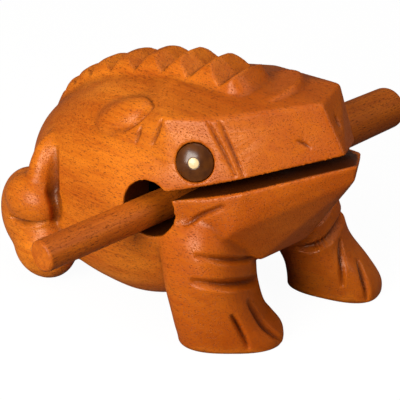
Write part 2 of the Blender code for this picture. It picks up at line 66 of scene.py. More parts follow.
# How often the skin is averaged for its fine form, its broad form, its grain and each measure itself.
CLOSE_TURNS = 6
WIDE_TURNS = 40
GRAIN_TURNS = 3
EVEN_TURNS = 2
BOX_MIDDLE = Vector((6.35, 5.456, 0.0))
FROG_MIDDLE = Vector((0.0, 0.0, 0.045))
NO_TURN = (0.0, 0.0, 0.0)
NO_STRETCH = (1.0, 1.0, 1.0)

Place = tuple[float, float, float]
Colour = tuple[float, float, float]
Socket = bpy.types.NodeSocket


class Side(Enum):
    """The frog's own left and right; the value is the sign of X."""

    LEFT = 1.0
    RIGHT = -1.0


BOTH_SIDES = (Side.LEFT, Side.RIGHT)
# A line with one side has its points as they stand, with no mirroring.
ONE_SIDE = (Side.LEFT,)


def at(place: Place, side: Side = Side.LEFT) -> Vector:
    """A place given for the left side, mirrored for the right."""
    return Vector((place[0] * side.value, place[1], place[2]))


def turned_to(direction: Vector) -> Matrix:
    """A turn that takes the Z axis to the direction."""
    return direction.normalized().to_track_quat("Z", "Y").to_matrix().to_4x4()


def smooth_rows(stations: list[tuple[float, ...]], steps: int) -> list[tuple[float, ...]]:
    """Reads a smooth curve through stations.

    Args:
        stations: Rows of numbers that the curve passes through.
        steps: How many rows are read from each span.

    Returns:
        The rows in order, the last station among them.
    """

    def between(p: float, q: float, r: float, s: float, t: float) -> float:
        """The value at t between q and r, with p before them and s after."""
        bend = (2 * p - 5 * q + 4 * r - s) * t * t
        return 0.5 * (2 * q + (r - p) * t + bend + (3 * q - p - 3 * r + s) * t ** 3)

    rows: list[tuple[float, ...]] = []
    last = len(stations) - 1
    for i in range(last):
        nearby = (stations[max(i - 1, 0)], stations[i], stations[i + 1], stations[min(i + 2, last)])
        for k in range(steps):
            rows.append(tuple(between(*values, k / steps) for values in zip(*nearby)))
    rows.append(tuple(stations[-1]))
    return rows


def rounded_outline(half_width: float, half_height: float, squareness: float, count: int,
                    lower_squareness: float | None = None) -> list[tuple[float, float]]:
    """Points round a rounded outline.

    Args:
        half_width: Half its width.
        half_height: Half its height.
        squareness: 2 is an ellipse, and more is squarer.
        count: How many points.
        lower_squareness: The squareness of the lower half, where it differs.

    Returns:
        Points as pairs, anticlockwise.
    """
    points = []
    for i in range(count):
        angle = 2.0 * math.pi * (i + 0.5) / count
        c = math.cos(angle)
        s = math.sin(angle)
        power = 2.0 / (lower_squareness if lower_squareness and s < 0.0 else squareness)
        points.append((
            half_width * math.copysign(abs(c) ** power, c),
            half_height * math.copysign(abs(s) ** power, s),
        ))
    return points


def add_object(name: str, data: bpy.types.ID) -> bpy.types.Object:
    """Puts data into the scene as an object."""
    obj = bpy.data.objects.new(name, data)
    bpy.context.scene.collection.objects.link(obj)
    return obj


def triangles_in(mesh: bpy.types.Mesh) -> int:
    """How many triangles a mesh's faces make."""
    return sum(len(face.vertices) - 2 for face in mesh.polygons)


def read_skin(mesh: bpy.types.Mesh) -> tuple[np.ndarray, np.ndarray]:
    """The places and the normals of a mesh's points, one row each."""
    places = np.empty(len(mesh.vertices) * 3)
    normals = np.empty(len(mesh.vertices) * 3)
    mesh.vertices.foreach_get("co", places)
    mesh.vertices.foreach_get("normal", normals)
    return places.reshape(-1, 3), normals.reshape(-1, 3)


def store(mesh: bpy.types.Mesh, name: str, values: np.ndarray) -> None:
    """Stores one number for each point of a mesh under a name."""
    attribute = mesh.attributes.new(name, "FLOAT", "POINT")
    attribute.data.foreach_set("value", values.astype(np.float32))


class Clay:
    """A heap of closed shells, in millimetres, that becomes one mesh."""

    def __init__(self) -> None:
        """Starts an empty heap."""
        self.bm = bmesh.new()

    def loft(self, rings: list[list[Vector]]) -> None:
        """Joins rings of equal length into one closed skin.

        Args:
            rings: The rings in order, each a list of points.
        """
        rows = [[self.bm.verts.new(p) for p in ring] for ring in rings]
        count = len(rows[0])
        for row, after in zip(rows, rows[1:]):
            for i in range(count):
                j = (i + 1) % count
                self.bm.faces.new((row[i], row[j], after[j], after[i]))
        self.bm.faces.new(list(reversed(rows[0])))
        self.bm.faces.new(rows[-1])

    def hull(self, corners: list[Vector]) -> None:
        """Adds the faceted block that a set of corners spans.

        Args:
            corners: The corners, in any order.
        """
        verts = [self.bm.verts.new(corner) for corner in corners]
        made = bmesh.ops.convex_hull(self.bm, input=verts)
        inside = [v for v in made["geom_interior"] if isinstance(v, bmesh.types.BMVert)]
        bmesh.ops.delete(self.bm, geom=inside, context="VERTS")

    def lump(self, centre: Place, radii: Place, turn: Place, side: Side) -> None:
        """Adds a ball stretched to three radii.

        Args:
            centre: Its centre on the left side.
            radii: Its radii along X, Y and Z before it is turned.
            turn: Its turn about X, Y and Z in degrees, for the left side.
            side: The side it stands on.
        """
        size = Matrix.Diagonal((radii[0], radii[1], radii[2], 1.0))
        turned = (Matrix.Rotation(math.radians(turn[2] * side.value), 4, "Z")
                  @ Matrix.Rotation(math.radians(turn[1] * side.value), 4, "Y")
                  @ Matrix.Rotation(math.radians(turn[0]), 4, "X"))
        bmesh.ops.create_uvsphere(self.bm, u_segments=48, v_segments=32, radius=1.0,
                                  matrix=Matrix.Translation(at(centre, side)) @ turned @ size)

    def box(self, size: Place, place: Matrix) -> None:
        """Adds a box of a size at a place."""
        bmesh.ops.create_cube(self.bm, size=1.0, matrix=place @ Matrix.Diagonal((*size, 1.0)))

    def disc(self, bottom: float, top: float, height: float, place: Matrix) -> None:
        """Adds a round disc or cone.

        Args:
            bottom: Its radius below.
            top: Its radius above.
            height: Its height.
            place: Where its middle stands, with its axis along Z.
        """
        bmesh.ops.create_cone(self.bm, cap_ends=True, segments=96, radius1=bottom, radius2=top,
                              depth=height, matrix=place)

    def to_object(self, name: str) -> bpy.types.Object:
        """Closes the heap as an object in metres, its faces pointing outwards."""
        bmesh.ops.recalc_face_normals(self.bm, faces=self.bm.faces)
        bmesh.ops.scale(self.bm, vec=(MM, MM, MM), verts=self.bm.verts)
        mesh = bpy.data.meshes.new(name)
        self.bm.to_mesh(mesh)
        self.bm.free()
        return add_object(name, mesh)


def settled(obj: bpy.types.Object) -> bpy.types.Object:
    """Turns an object's modifiers into its own plain mesh.

    Args:
        obj: The object, which keeps its name.

    Returns:
        The same object, with no modifiers left.
    """
    graph = bpy.context.evaluated_depsgraph_get()
    mesh = bpy.data.meshes.new_from_object(obj.evaluated_get(graph), depsgraph=graph)
    old = obj.data
    obj.modifiers.clear()
    obj.data = mesh
    bpy.data.meshes.remove(old)
    return obj


def add_voxels(obj: bpy.types.Object, grain: float) -> None:
    """Adds a remesh into one closed skin, with a grain in millimetres."""
    skin = obj.modifiers.new("Skin", "REMESH")
    skin.mode = "VOXEL"
    skin.voxel_size = grain * MM


def add_relax(obj: bpy.types.Object, turns: int, group: str = "") -> None:
    """Adds a number of turns of smoothing, all over or as far as a vertex group says."""
    relax = obj.modifiers.new("Relax", "SMOOTH")
    relax.factor = 0.5
    relax.iterations = turns
    relax.vertex_group = group


def remove(obj: bpy.types.Object) -> None:
    """Takes a helper out of the scene with its mesh."""
    mesh = obj.data
    bpy.data.objects.remove(obj, do_unlink=True)
    bpy.data.meshes.remove(mesh)


@dataclass
class Torso:
    """The round body, lofted from rump to chest."""

    stations: list[tuple[float, ...]] = field(default_factory=lambda: [
        (79.0, 10.0, 26.0, 45.0),
        (75.0, 18.0, 16.0, 53.8),
        (67.0, 26.5, 8.0, 62.0),
        (55.0, 33.5, 4.0, 71.3),
        (40.0, 38.0, 1.5, 79.0),
        (24.0, 40.0, 0.5, 84.2),
        (8.0, 40.0, 1.5, 87.0),
        (-8.0, 38.0, 8.5, 88.0),
        (-22.0, 32.0, 24.0, 87.5),
        (-31.0, 22.0, 32.0, 86.5),
    ])
    back_squareness: float = 2.1
    belly_squareness: float = 3.0

    def add_to(self, clay: Clay) -> None:
        """Adds the torso to the heap."""
        rings = []
        for along, half_width, low, high in smooth_rows(self.stations, 5):
            outline = rounded_outline(half_width, 0.5 * (high - low), self.back_squareness, 64,
                                      self.belly_squareness)
            rings.append([Vector((x, along, 0.5 * (low + high) + z)) for x, z in outline])
        clay.loft(rings)


@dataclass
class Ridge:
    """The ridge along the back, with the notches that a stick rattles over."""

    stations: list[tuple[float, ...]] = field(default_factory=lambda: [
        (78.0, 47.0),
        (75.0, 56.2),
        (68.4, 66.6),
        (59.3, 74.5),
        (48.9, 81.4),
        (35.7, 87.5),
        (21.4, 92.3),
        (7.6, 95.6),
        (-6.3, 97.2),
        (-17.2, 97.9),
        (-18.2, 97.3),
        (-26.5, 88.0),
    ])
    half_width: float = 10.5
    tail_half_width: float = 6.0
    depth: float = 16.0
    squareness: float = 3.2
    notches: list[tuple[float, float]] = field(default_factory=lambda: [
        (-13.8, 91.7),
        (1.0, 90.5),
        (14.2, 88.7),
        (28.4, 85.0),
        (41.8, 80.3),
        (53.6, 74.3),
        (62.9, 67.8),
        (69.8, 61.6),
    ])
    notch_half_angle: float = 50.0
    notch_fall: float = 6.0
    notch_half_length: float = 14.0
    notch_height: float = 7.5

    def add_to(self, clay: Clay) -> None:
        """Adds the uncut ridge to the heap."""
        rings = []
        rows = smooth_rows(self.stations, 5)
        for i, (along, top) in enumerate(rows):
            share = min(1.0, i / (0.5 * len(rows)))
            half_width = self.tail_half_width + (self.half_width - self.tail_half_width) * share
            outline = rounded_outline(half_width, self.depth, self.squareness, 40)
            rings.append([Vector((x, along, top - self.depth + z)) for x, z in outline])
        clay.loft(rings)

    def notch_prism(self) -> bpy.types.Object:
        """One V prism open upward, its bottom line at the origin and falling outward both ways."""
        clay = Clay()
        fall = math.tan(math.radians(self.notch_fall)) * self.notch_half_length
        spread = math.tan(math.radians(self.notch_half_angle)) * self.notch_height
        rings = []
        for x, drop in ((-self.notch_half_length, fall), (0.0, 0.0), (self.notch_half_length, fall)):
            bottom = Vector((x, 0.0, -drop))
            top = bottom + Vector((0.0, 0.0, self.notch_height))
            half_open = Vector((0.0, spread, 0.0))
            rings.append([bottom, top - half_open, top + half_open])
        clay.loft(rings)
        return clay.to_object("notch_prism")

    def notch_row(self) -> bpy.types.Object:
        """Repeats the V prism along the ridge with Geometry Nodes, each leaning with the ridge.

        Returns:
            All the prisms as one plain mesh.
        """
        prism = self.notch_prism()
        row = bpy.data.meshes.new("notch_row")
        row.from_pydata([(0.0, along * MM, height * MM) for along, height in self.notches], [], [])
        lean = row.attributes.new("lean", "FLOAT", "POINT")
        last = len(self.notches) - 1
        for i in range(last + 1):
            before = self.notches[max(i - 1, 0)]
            after = self.notches[min(i + 1, last)]
            lean.data[i].value = math.atan2(after[1] - before[1], after[0] - before[0])
        obj = add_object("notch_row", row)
        NotchTree().put_on(obj, {"Cutter": prism})
        settled(obj)
        remove(prism)
        return obj


class NodeWork:
    """A node tree under construction."""

    def __init__(self, tree: bpy.types.NodeTree) -> None:
        """Starts work on a tree."""
        self.tree = tree

    def node(self, kind: str, **settings: object) -> bpy.types.Node:
        """Adds a node with its settings."""
        made = self.tree.nodes.new(kind)
        for name, value in settings.items():
            setattr(made, name, value)
        return made

    def link(self, source: Socket, target: Socket) -> None:
        """Joins two sockets."""
        self.tree.links.new(source, target)

    def math(self, operation: str, first: Socket, second: Socket | float) -> Socket:
        """One sum of a socket and a socket or number."""
        node = self.node("ShaderNodeMath", operation=operation)
        self.link(first, node.inputs[0])
        if isinstance(second, (int, float)):
            node.inputs[1].default_value = second
        else:
            self.link(second, node.inputs[1])
        return node.outputs[0]


class Tree(NodeWork):
    """A Geometry Nodes tree with named inputs, a geometry in and a geometry out."""

    def __init__(self, name: str) -> None:
        """Starts the tree."""
        super().__init__(bpy.data.node_groups.new(name, "GeometryNodeTree"))
        self.tree.interface.new_socket("Geometry", in_out="INPUT", socket_type="NodeSocketGeometry")
        self.tree.interface.new_socket("Geometry", in_out="OUTPUT", socket_type="NodeSocketGeometry")
        self.sockets: dict[str, str] = {}
        self.start = self.node("NodeGroupInput")
        self.end = self.node("NodeGroupOutput")

    def size(self, name: str, kind: str) -> None:
        """Adds a named input of a socket type."""
        made = self.tree.interface.new_socket(name, in_out="INPUT", socket_type=kind)
        self.sockets[name] = made.identifier

    def close(self, geometry: Socket) -> None:
        """Ends the tree in real geometry with a set material.

        Args:
            geometry: What the tree has made.
        """
        real = self.node("GeometryNodeRealizeInstances")
        finish = self.node("GeometryNodeSetMaterial")
        self.link(geometry, real.inputs["Geometry"])
        self.link(real.outputs["Geometry"], finish.inputs["Geometry"])
        self.link(self.start.outputs["Finish"], finish.inputs["Material"])
        self.link(finish.outputs["Geometry"], self.end.inputs["Geometry"])

    def put_on(self, obj: bpy.types.Object, values: dict[str, object]) -> None:
        """Puts the tree on an object with its inputs set by identifier.

        Args:
            obj: The object that carries the tree.
            values: Input names and their values.
        """
        modifier = obj.modifiers.new(self.tree.name, "NODES")
        modifier.node_group = self.tree
        for name, value in values.items():
            modifier[self.sockets[name]] = value


class NotchTree(Tree):
    """Sets one cutter on every point, leaning by the point's own angle."""

    def __init__(self) -> None:
        """Builds the tree."""
        super().__init__("Notch row")
        self.size("Cutter", "NodeSocketObject")
        self.size("Finish", "NodeSocketMaterial")
        cutter = self.node("GeometryNodeObjectInfo")
        lean = self.node("GeometryNodeInputNamedAttribute", data_type="FLOAT")
        lean.inputs["Name"].default_value = "lean"
        turn = self.node("ShaderNodeCombineXYZ")
        spread = self.node("GeometryNodeInstanceOnPoints")
        self.link(self.start.outputs["Cutter"], cutter.inputs["Object"])
        self.link(lean.outputs["Attribute"], turn.inputs["X"])
        self.link(self.start.outputs["Geometry"], spread.inputs["Points"])
        self.link(cutter.outputs["Geometry"], spread.inputs["Instance"])
        self.link(turn.outputs["Vector"], spread.inputs["Rotation"])
        self.close(spread.outputs["Instances"])


@dataclass
class Facets:
    """A block with flat facets, spanned by corners in its middle and corners on both sides."""

    middle: list[Place]
    paired: list[Place]

    def add_to(self, clay: Clay) -> None:
        """Adds the block to the heap."""
        corners = [at(place) for place in self.middle]
        for place in self.paired:
            corners += [at(place, side) for side in Side]
        clay.hull(corners)


@dataclass
class Head(Facets):
    """The faceted upper head with its half-moon ledge."""

    middle: list[Place] = field(default_factory=lambda: [
        (0.0, -52.0, 92.5),
        (0.0, -63.2, 75.4),
        (-13.0, -36.0, 89.0),
        (16.3, -47.0, 93.4),
        (-24.0, -23.0, 85.3),
        (24.0, -23.0, 87.0),
        (-13.0, -47.5, 69.3),
        (16.3, -55.2, 71.4),
    ])
    paired: list[Place] = field(default_factory=lambda: [
        (31.0, -6.5, 83.5),
        (24.0, -36.0, 66.0),
        (31.5, -24.0, 60.5),
        (35.0, -12.0, 59.0),
        (33.0, 14.0, 70.0),
        (36.0, 14.0, 54.0),
        (11.0, 8.0, 87.4),
        (10.0, 34.0, 79.5),
        (24.0, 30.0, 72.0),
    ])
    ledge_centre: Place = (3.5, -25.0, 87.4)
    ledge_facing: Place = (-0.2, 0.33, 1.0)
    ledge_radius: float = 14.6
    ledge_height: float = 5.0
    ledge_taper: float = 1.2

    def add_to(self, clay: Clay) -> None:
        """Adds the head block and its ledge to the heap."""
        super().add_to(clay)
        clay.disc(self.ledge_radius, self.ledge_radius - self.ledge_taper, self.ledge_height,
                  Matrix.Translation(at(self.ledge_centre)) @ turned_to(at(self.ledge_facing)))


@dataclass
class Jaw(Facets):
    """The faceted lower jaw and chin."""

    middle: list[Place] = field(default_factory=lambda: [
        (0.0, -68.4, 74.8),
        (0.0, -67.2, 67.8),
        (-15.0, -50.0, 66.5),
        (17.2, -57.2, 69.6),
        (0.0, -47.0, 38.0),
        (0.0, -10.0, 26.0),
    ])
    paired: list[Place] = field(default_factory=lambda: [
        (26.5, -38.5, 63.5),
        (32.5, -25.0, 58.5),
        (34.5, -18.0, 56.5),
        (34.5, -13.0, 40.0),
        (11.0, -47.0, 58.5),
        (22.0, -44.5, 58.5),
        (28.5, -36.5, 48.0),
        (31.5, -22.5, 34.5),
        (14.0, -37.0, 31.0),
    ])


@dataclass
class FrontLeg:
    """A front leg lofted from its sole to the shoulder.

    A ring is height, X, Y, half width, half depth and turn in degrees.
    """

    rings: list[tuple[float, ...]]
    squareness: float = 2.7

    def add_to(self, clay: Clay) -> None:
        """Adds the leg to the heap."""
        made = []
        for height, x, y, half_width, half_depth, turn in smooth_rows(self.rings, 6):
            spin = Matrix.Rotation(math.radians(turn), 4, "Z")
            outline = rounded_outline(half_width, half_depth, self.squareness, 48)
            made.append([Vector((x, y, height)) + spin @ Vector((u, v, 0.0)) for u, v in outline])
        clay.loft(made)


@dataclass
class Lump:
    """A stretched ball on both sides of the frog."""

    centre: Place
    radii: Place
    turn: Place = (0.0, 0.0, 0.0)

    def add_to(self, clay: Clay) -> None:
        """Adds the pair to the heap."""
        for side in Side:
            clay.lump(self.centre, self.radii, self.turn, side)


@dataclass(frozen=True)
class SoftSpot:
    """A place on both sides where the carver let neighbouring forms run into each other."""

    centre: Place
    radius: float
    steepness: float = 1.6

    def shares(self, places: np.ndarray) -> np.ndarray:
        """How soft the skin is at each place, 1 round the spot's centre and 0 from its radius on."""
        shares = np.zeros(len(places))
        for side in Side:
            distance = np.linalg.norm(places - np.array(at(self.centre, side)) * MM, axis=1)
            shares = np.maximum(shares, 1.0 - distance / (self.radius * MM))
        return np.clip(self.steepness * shares, 0.0, 1.0)


@dataclass
class Openings:
    """The mouth slot, the hole from cheek to cheek and the hollow."""

    mouth_gap: float = 3.4
    mouth_pitch: float = 19.3
    mouth_back: Place = (0.0, -10.0, 55.9)
    mouth_reach: float = 70.0
    width: float = 130.0
    hole_centre: tuple[float, float] = (-5.0, 50.0)
    hole_radius: float = 10.5
    hollow_centre: Place = (0.0, 4.0, 50.0)
    hollow_radii: Place = (26.0, 36.0, 22.0)
    rim: float = 0.5
    facing_from: float = 0.55
    facing_gain: float = 2.5

    def cutters(self) -> list[bpy.types.Object]:
        """Makes one cutter for each opening."""
        mouth = Clay()
        tilt = Matrix.Rotation(math.radians(-self.mouth_pitch), 4, "X")
        mouth.box((self.width, self.mouth_reach, self.mouth_gap),
                  Matrix.Translation(at(self.mouth_back)) @ tilt
                  @ Matrix.Translation((0.0, -0.5 * self.mouth_reach, 0.0)))
        hole = Clay()
        along, height = self.hole_centre
        hole.disc(self.hole_radius, self.hole_radius, self.width,
                  Matrix.Translation((0.0, along, height)) @ Matrix.Rotation(math.radians(90.0), 4, "Y"))
        hollow = Clay()
        hollow.lump(self.hollow_centre, self.hollow_radii, (0.0, 0.0, 0.0), Side.LEFT)
        return [hollow.to_object("hollow"), mouth.to_object("mouth_slot"), hole.to_object("cheek_hole")]

    def mark(self, obj: bpy.types.Object) -> None:
        """Stores which points of the skin lie inside an opening, as the attribute inner: there the wood
        gets painted shade, nearly black.

        Args:
            obj: The carved body in metres, still in the carver's own frame.
        """

        def facing(level: np.ndarray) -> np.ndarray:
            """1 where the skin faces into an opening, 0 where it turns away from it."""
            return np.clip(self.facing_gain * (level - self.facing_from), 0.0, 1.0)

        places, normals = read_skin(obj.data)
        places = places / MM
        pitch = math.radians(self.mouth_pitch)
        from_back = places - np.array(self.mouth_back)
        across = np.array((0.0, math.sin(pitch), math.cos(pitch)))
        forward = from_back @ np.array((0.0, -math.cos(pitch), math.sin(pitch)))
        in_slot = (np.abs(from_back @ across) < 0.5 * self.mouth_gap + self.rim) & (forward > 0.0)
        slot = np.where(in_slot, facing(np.abs(normals @ across)), 0.0)
        from_axis = places[:, 1:] - np.array(self.hole_centre)
        radius = np.maximum(np.linalg.norm(from_axis, axis=1), 0.1)
        inward = -(from_axis * normals[:, 1:]).sum(1) / radius
        hole = np.where(radius < self.hole_radius + self.rim, facing(inward), 0.0)
        from_middle = (places - np.array(self.hollow_centre)) / np.array(self.hollow_radii)
        reach = np.linalg.norm(from_middle, axis=1)
        hollow = np.where(reach < 1.02, 1.0, 0.0)
        store(obj.data, "inner", np.maximum.reduce([slot, hole, hollow]))


@dataclass(frozen=True)
class KnifeLine:
    """A line pressed into the skin along a path, on one side of the frog or on both."""

    points: tuple[Place, ...]
    width: float
    depth: float
    # How dark the painted shade in its groove is.
    dark: float = 1.0
    soft: bool = False
    sides: tuple[Side, ...] = BOTH_SIDES

    def share(self, step: int, last: int) -> float:
        """How much of its width and depth the line has at a step of its length: it fades at its ends."""
        wave = math.sin(math.pi * (0.06 + 0.88 * step / last))
        return wave ** (SOFT_FADE if self.soft else CRISP_FADE)

    def profile(self, inward: float) -> float:
        """Its depth from its edge, 0, to its middle, 1: a plain V, or a smooth valley if it is soft."""
        return inward * inward * (3.0 - 2.0 * inward) if self.soft else inward


@dataclass
class KnifeWork:
    """All the lines that the carver's knife left."""

    lines: list[KnifeLine] = field(default_factory=lambda: [
        KnifeLine(((24.5, -21.6, 84.7), (24.4, -28.0, 76.4), (24.3, -34.0, 68.0)), 1.9, 1.5),
        KnifeLine(((22.2, -25.0, 85.5), (22.2, -30.6, 77.0), (22.4, -36.4, 68.2)), 1.8, 1.2),
        KnifeLine(((30.4, -5.9, 83.3), (31.8, -4.8, 78.4), (32.8, -2.9, 72.7)), 2.2, 1.2),
        KnifeLine(((30.5, 3.5, 78.0), (32.4, 4.0, 74.6), (33.0, 4.9, 71.2)), 2.2, 1.1),
        KnifeLine(((34.8, -19.8, 47.7), (31.7, -26.7, 53.4), (29.2, -33.1, 57.7)), 2.8, 1.6),
        KnifeLine(((37.7, -28.1, 39.6), (34.4, -32.4, 38.8), (29.1, -34.8, 36.9), (21.1, -34.9, 33.5),
                   (13.8, -35.5, 31.7)), 3.8, 2.0, 0.8),
        KnifeLine(((39.4, -28.0, 29.9), (35.7, -33.6, 29.5), (28.5, -35.8, 27.2), (19.6, -34.2, 23.5),
                   (12.5, -33.0, 21.0)), 5.2, 3.3, 0.8),
        KnifeLine(((35.4, 46.4, 57.0), (36.8, 44.8, 50.0), (37.6, 44.0, 42.0), (37.4, 44.2, 34.0),
                   (36.8, 44.8, 27.0)), 8.0, 2.5, 0.7, True),
        KnifeLine(((45.0, 60.5, 25.8), (45.5, 55.5, 25.6), (44.5, 50.0, 26.4), (41.5, 44.5, 28.0)),
                  4.0, 2.8),
        KnifeLine(((-8.2, -48.0, 80.1), (-7.0, -50.2, 79.3), (-6.1, -52.1, 78.1)),
                  1.8, 1.3, sides=ONE_SIDE),
        KnifeLine(((4.4, -53.4, 86.6), (4.4, -54.4, 84.7), (4.4, -55.3, 82.6)),
                  1.8, 1.3, sides=ONE_SIDE),
        KnifeLine(((-30.9, -38.8, 16.5), (-29.5, -41.6, 11.0), (-27.2, -44.0, 2.5)),
                  3.4, 2.2, sides=ONE_SIDE),
        KnifeLine(((-23.9, -37.5, 18.2), (-20.8, -41.5, 12.8), (-17.6, -45.5, 7.5), (-13.0, -47.8, 1.2)),
                  4.6, 2.4, sides=ONE_SIDE),
        KnifeLine(((28.4, -41.0, 23.3), (24.8, -44.5, 16.9), (23.4, -46.4, 7.5)),
                  3.6, 2.2, sides=ONE_SIDE),
        KnifeLine(((32.1, -46.2, 14.7), (30.6, -50.2, 9.4), (30.6, -53.0, 1.6)),
                  3.6, 2.2, sides=ONE_SIDE),
        KnifeLine(((21.2, 17.0, 80.6), (21.6, 9.5, 82.0), (24.2, 4.0, 82.0), (28.2, 4.2, 79.0),
                   (30.9, 11.0, 73.4), (31.8, 19.0, 70.8)), 1.6, 1.0),
    ])
    steps: int = 12
    end_width: float = 0.4

    def press_into(self, obj: bpy.types.Object) -> None:
        """Moves the skin inwards along every line, deepest in the middle of its width, and stores the
        painted shade of each groove as the attribute knife.

        Args:
            obj: The carved body, a plain mesh in metres.
        """
        mesh = obj.data
        places, normals = read_skin(mesh)
        count = len(places)
        tree = KDTree(count)
        for i, place in enumerate(places):
            tree.insert(place, i)
        tree.balance()
        surface = BVHTree.FromObject(obj, bpy.context.evaluated_depsgraph_get())
        sunk = np.zeros(count)
        dark = np.zeros(count)
        for line in self.lines:
            for side in line.sides:
                rows = smooth_rows([tuple(at(p, side) * MM) for p in line.points], self.steps)
                last = len(rows) - 1
                for i, row in enumerate(rows):
                    share = line.share(i, last)
                    spot = surface.find_nearest(Vector(row))[0]
                    width = self.end_width + (1.0 - self.end_width) * share
                    reach = 0.5 * line.width * MM * width
                    for _, index, distance in tree.find_range(spot, reach):
                        press = share * line.profile(1.0 - distance / reach)
                        sunk[index] = max(sunk[index], line.depth * MM * press)
                        dark[index] = max(dark[index], line.dark * press)
        mesh.vertices.foreach_set("co", (places - normals * sunk[:, None]).ravel())
        # The dark of each line is the painted shade in its groove.
        store(mesh, "knife", np.clip(2.0 * dark - 0.8, 0.0, 1.0))
        mesh.update()


@dataclass
class FrogBody:
    """The whole carved block."""

    torso: Torso = field(default_factory=Torso)
    ridge: Ridge = field(default_factory=Ridge)
    head: Head = field(default_factory=Head)
    jaw: Jaw = field(default_factory=Jaw)
    right_leg: FrontLeg = field(default_factory=lambda: FrontLeg([
        (-3.0, -20.3, -28.8, 13.6, 18.7, 42.0),
        (1.5, -20.1, -28.9, 14.4, 19.5, 42.0),
        (6.0, -21.5, -27.3, 14.9, 18.4, 40.0),
        (11.0, -22.9, -25.4, 15.4, 16.9, 36.0),
        (21.0, -23.8, -22.9, 16.4, 15.9, 24.0),
        (30.0, -24.0, -21.7, 16.6, 15.2, 10.0),
        (42.0, -24.0, -19.0, 14.5, 15.0, 0.0),
        (50.0, -22.0, -18.0, 11.0, 12.0, 0.0),
    ]))
    left_leg: FrontLeg = field(default_factory=lambda: FrontLeg([
        (-3.0, 32.4, -35.6, 11.2, 17.8, 18.0),
        (4.0, 32.4, -35.6, 11.6, 18.2, 18.0),
        (12.0, 30.3, -33.0, 12.2, 16.2, 18.0),
        (21.0, 27.5, -27.5, 13.0, 14.5, 14.0),
        (30.0, 25.5, -24.0, 14.0, 15.0, 8.0),
        (42.0, 23.5, -20.0, 14.0, 15.0, 0.0),
        (50.0, 22.0, -18.0, 11.0, 12.0, 0.0),
    ]))
    lumps: list[Lump] = field(default_factory=lambda: [
        Lump((25.9, 16.5, 75.4), (7.4, 13.6, 5.2), (-31.0, 34.0, -31.0)),
        Lump((34.0, 52.3, 40.5), (7.6, 6.4, 19.0), (0.0, -14.0, 0.0)),
        Lump((34.0, 58.0, 24.0), (11.2, 16.2, 19.0)),
        Lump((38.0, 54.5, 33.2), (9.2, 12.8, 10.2)),
        Lump((36.0, 51.5, 14.0), (10.8, 13.8, 13.6)),
    ])
    soft_spots: tuple[SoftSpot, ...] = (
        SoftSpot((32.0, 50.0, 60.0), 18.0),
        SoftSpot((38.0, 69.0, 18.0), 19.0),
        SoftSpot((24.0, 26.0, 80.0), 13.0),
    )
    soft_turns: int = 60
    soft_levels: int = 12
    openings: Openings = field(default_factory=Openings)
    knife_work: KnifeWork = field(default_factory=KnifeWork)
    blank_grain: float = 0.8
    blank_turns: int = 3
    skin_grain: float = 0.62
    skin_turns: int = 2
    most_triangles: int = 190000

    def blank(self) -> bpy.types.Object:
        """Fuses the raised forms into one skin and relaxes it."""
        clay = Clay()
        legs = (self.right_leg, self.left_leg)
        for part in (self.torso, self.ridge, self.head, self.jaw, *legs, *self.lumps):
            part.add_to(clay)
        body = clay.to_object("carved_frog")
        add_voxels(body, self.blank_grain)
        add_relax(body, self.blank_turns)
        return self.blended(settled(body))

    def blended(self, body: bpy.types.Object) -> bpy.types.Object:
        """Smooths the skin strongly round the soft spots, and leaves the rest crisp.

        Args:
            body: The fused body, a plain mesh.

        Returns:
            The same body.
        """
        places, _ = read_skin(body.data)
        shares = np.maximum.reduce([spot.shares(places) for spot in self.soft_spots])
        levels = np.round(shares * self.soft_levels).astype(int)
        group = body.vertex_groups.new(name="soft")
        for level in range(1, self.soft_levels + 1):
            group.add(np.flatnonzero(levels == level).tolist(), level / self.soft_levels, "REPLACE")
        add_relax(body, self.soft_turns, group.name)
        settled(body)
        body.vertex_groups.clear()
        return body

    def cut(self, body: bpy.types.Object, eyes: list["Eye"]) -> None:
        """Cuts the openings, the notches and the eye sockets out of the body."""
        tools = self.openings.cutters() + [self.ridge.notch_row()] + [eye.socket() for eye in eyes]
        for tool in tools:
            step = body.modifiers.new("Cut " + tool.name, "BOOLEAN")
            step.operation = "DIFFERENCE"
            step.solver = "EXACT"
            step.use_self = tool.name == "notch_row"
            step.object = tool
        settled(body)
        for tool in tools:
            remove(tool)

    def soften(self, body: bpy.types.Object) -> None:
        """Rounds the cut edges as sanding does, and planes the soles flat."""
        add_voxels(body, self.skin_grain)
        add_relax(body, self.skin_turns)
        settled(body)
        bm = bmesh.new()
        bm.from_mesh(body.data)
        cut = bmesh.ops.bisect_plane(bm, geom=bm.verts[:] + bm.edges[:] + bm.faces[:],
                                     plane_co=(0.0, 0.0, 0.0), plane_no=(0.0, 0.0, 1.0), clear_inner=True)
        rim = [e for e in cut["geom_cut"] if isinstance(e, bmesh.types.BMEdge)]
        bmesh.ops.holes_fill(bm, edges=rim, sides=0)
        bmesh.ops.triangulate(bm, faces=[f for f in bm.faces if len(f.verts) > 4])
        bm.to_mesh(body.data)
        bm.free()

    def build(self, eyes: list["Eye"]) -> bpy.types.Object:
        """Carves the frog.

        Args:
            eyes: The eyes whose sockets are cut.

        Returns:
            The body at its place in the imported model's frame.
        """
        body = self.blank()
        self.cut(body, eyes)
        self.soften(body)
        self.knife_work.press_into(body)
        triangles = triangles_in(body.data)
        if triangles > self.most_triangles:
            thin = body.modifiers.new("Thin", "DECIMATE")
            thin.ratio = self.most_triangles / triangles
            settled(body)
        self.openings.mark(body)
        body.data.transform(Matrix.Translation(-BOX_MIDDLE * MM))
        body.data.shade_smooth()
        measure_skin(body)
        return body


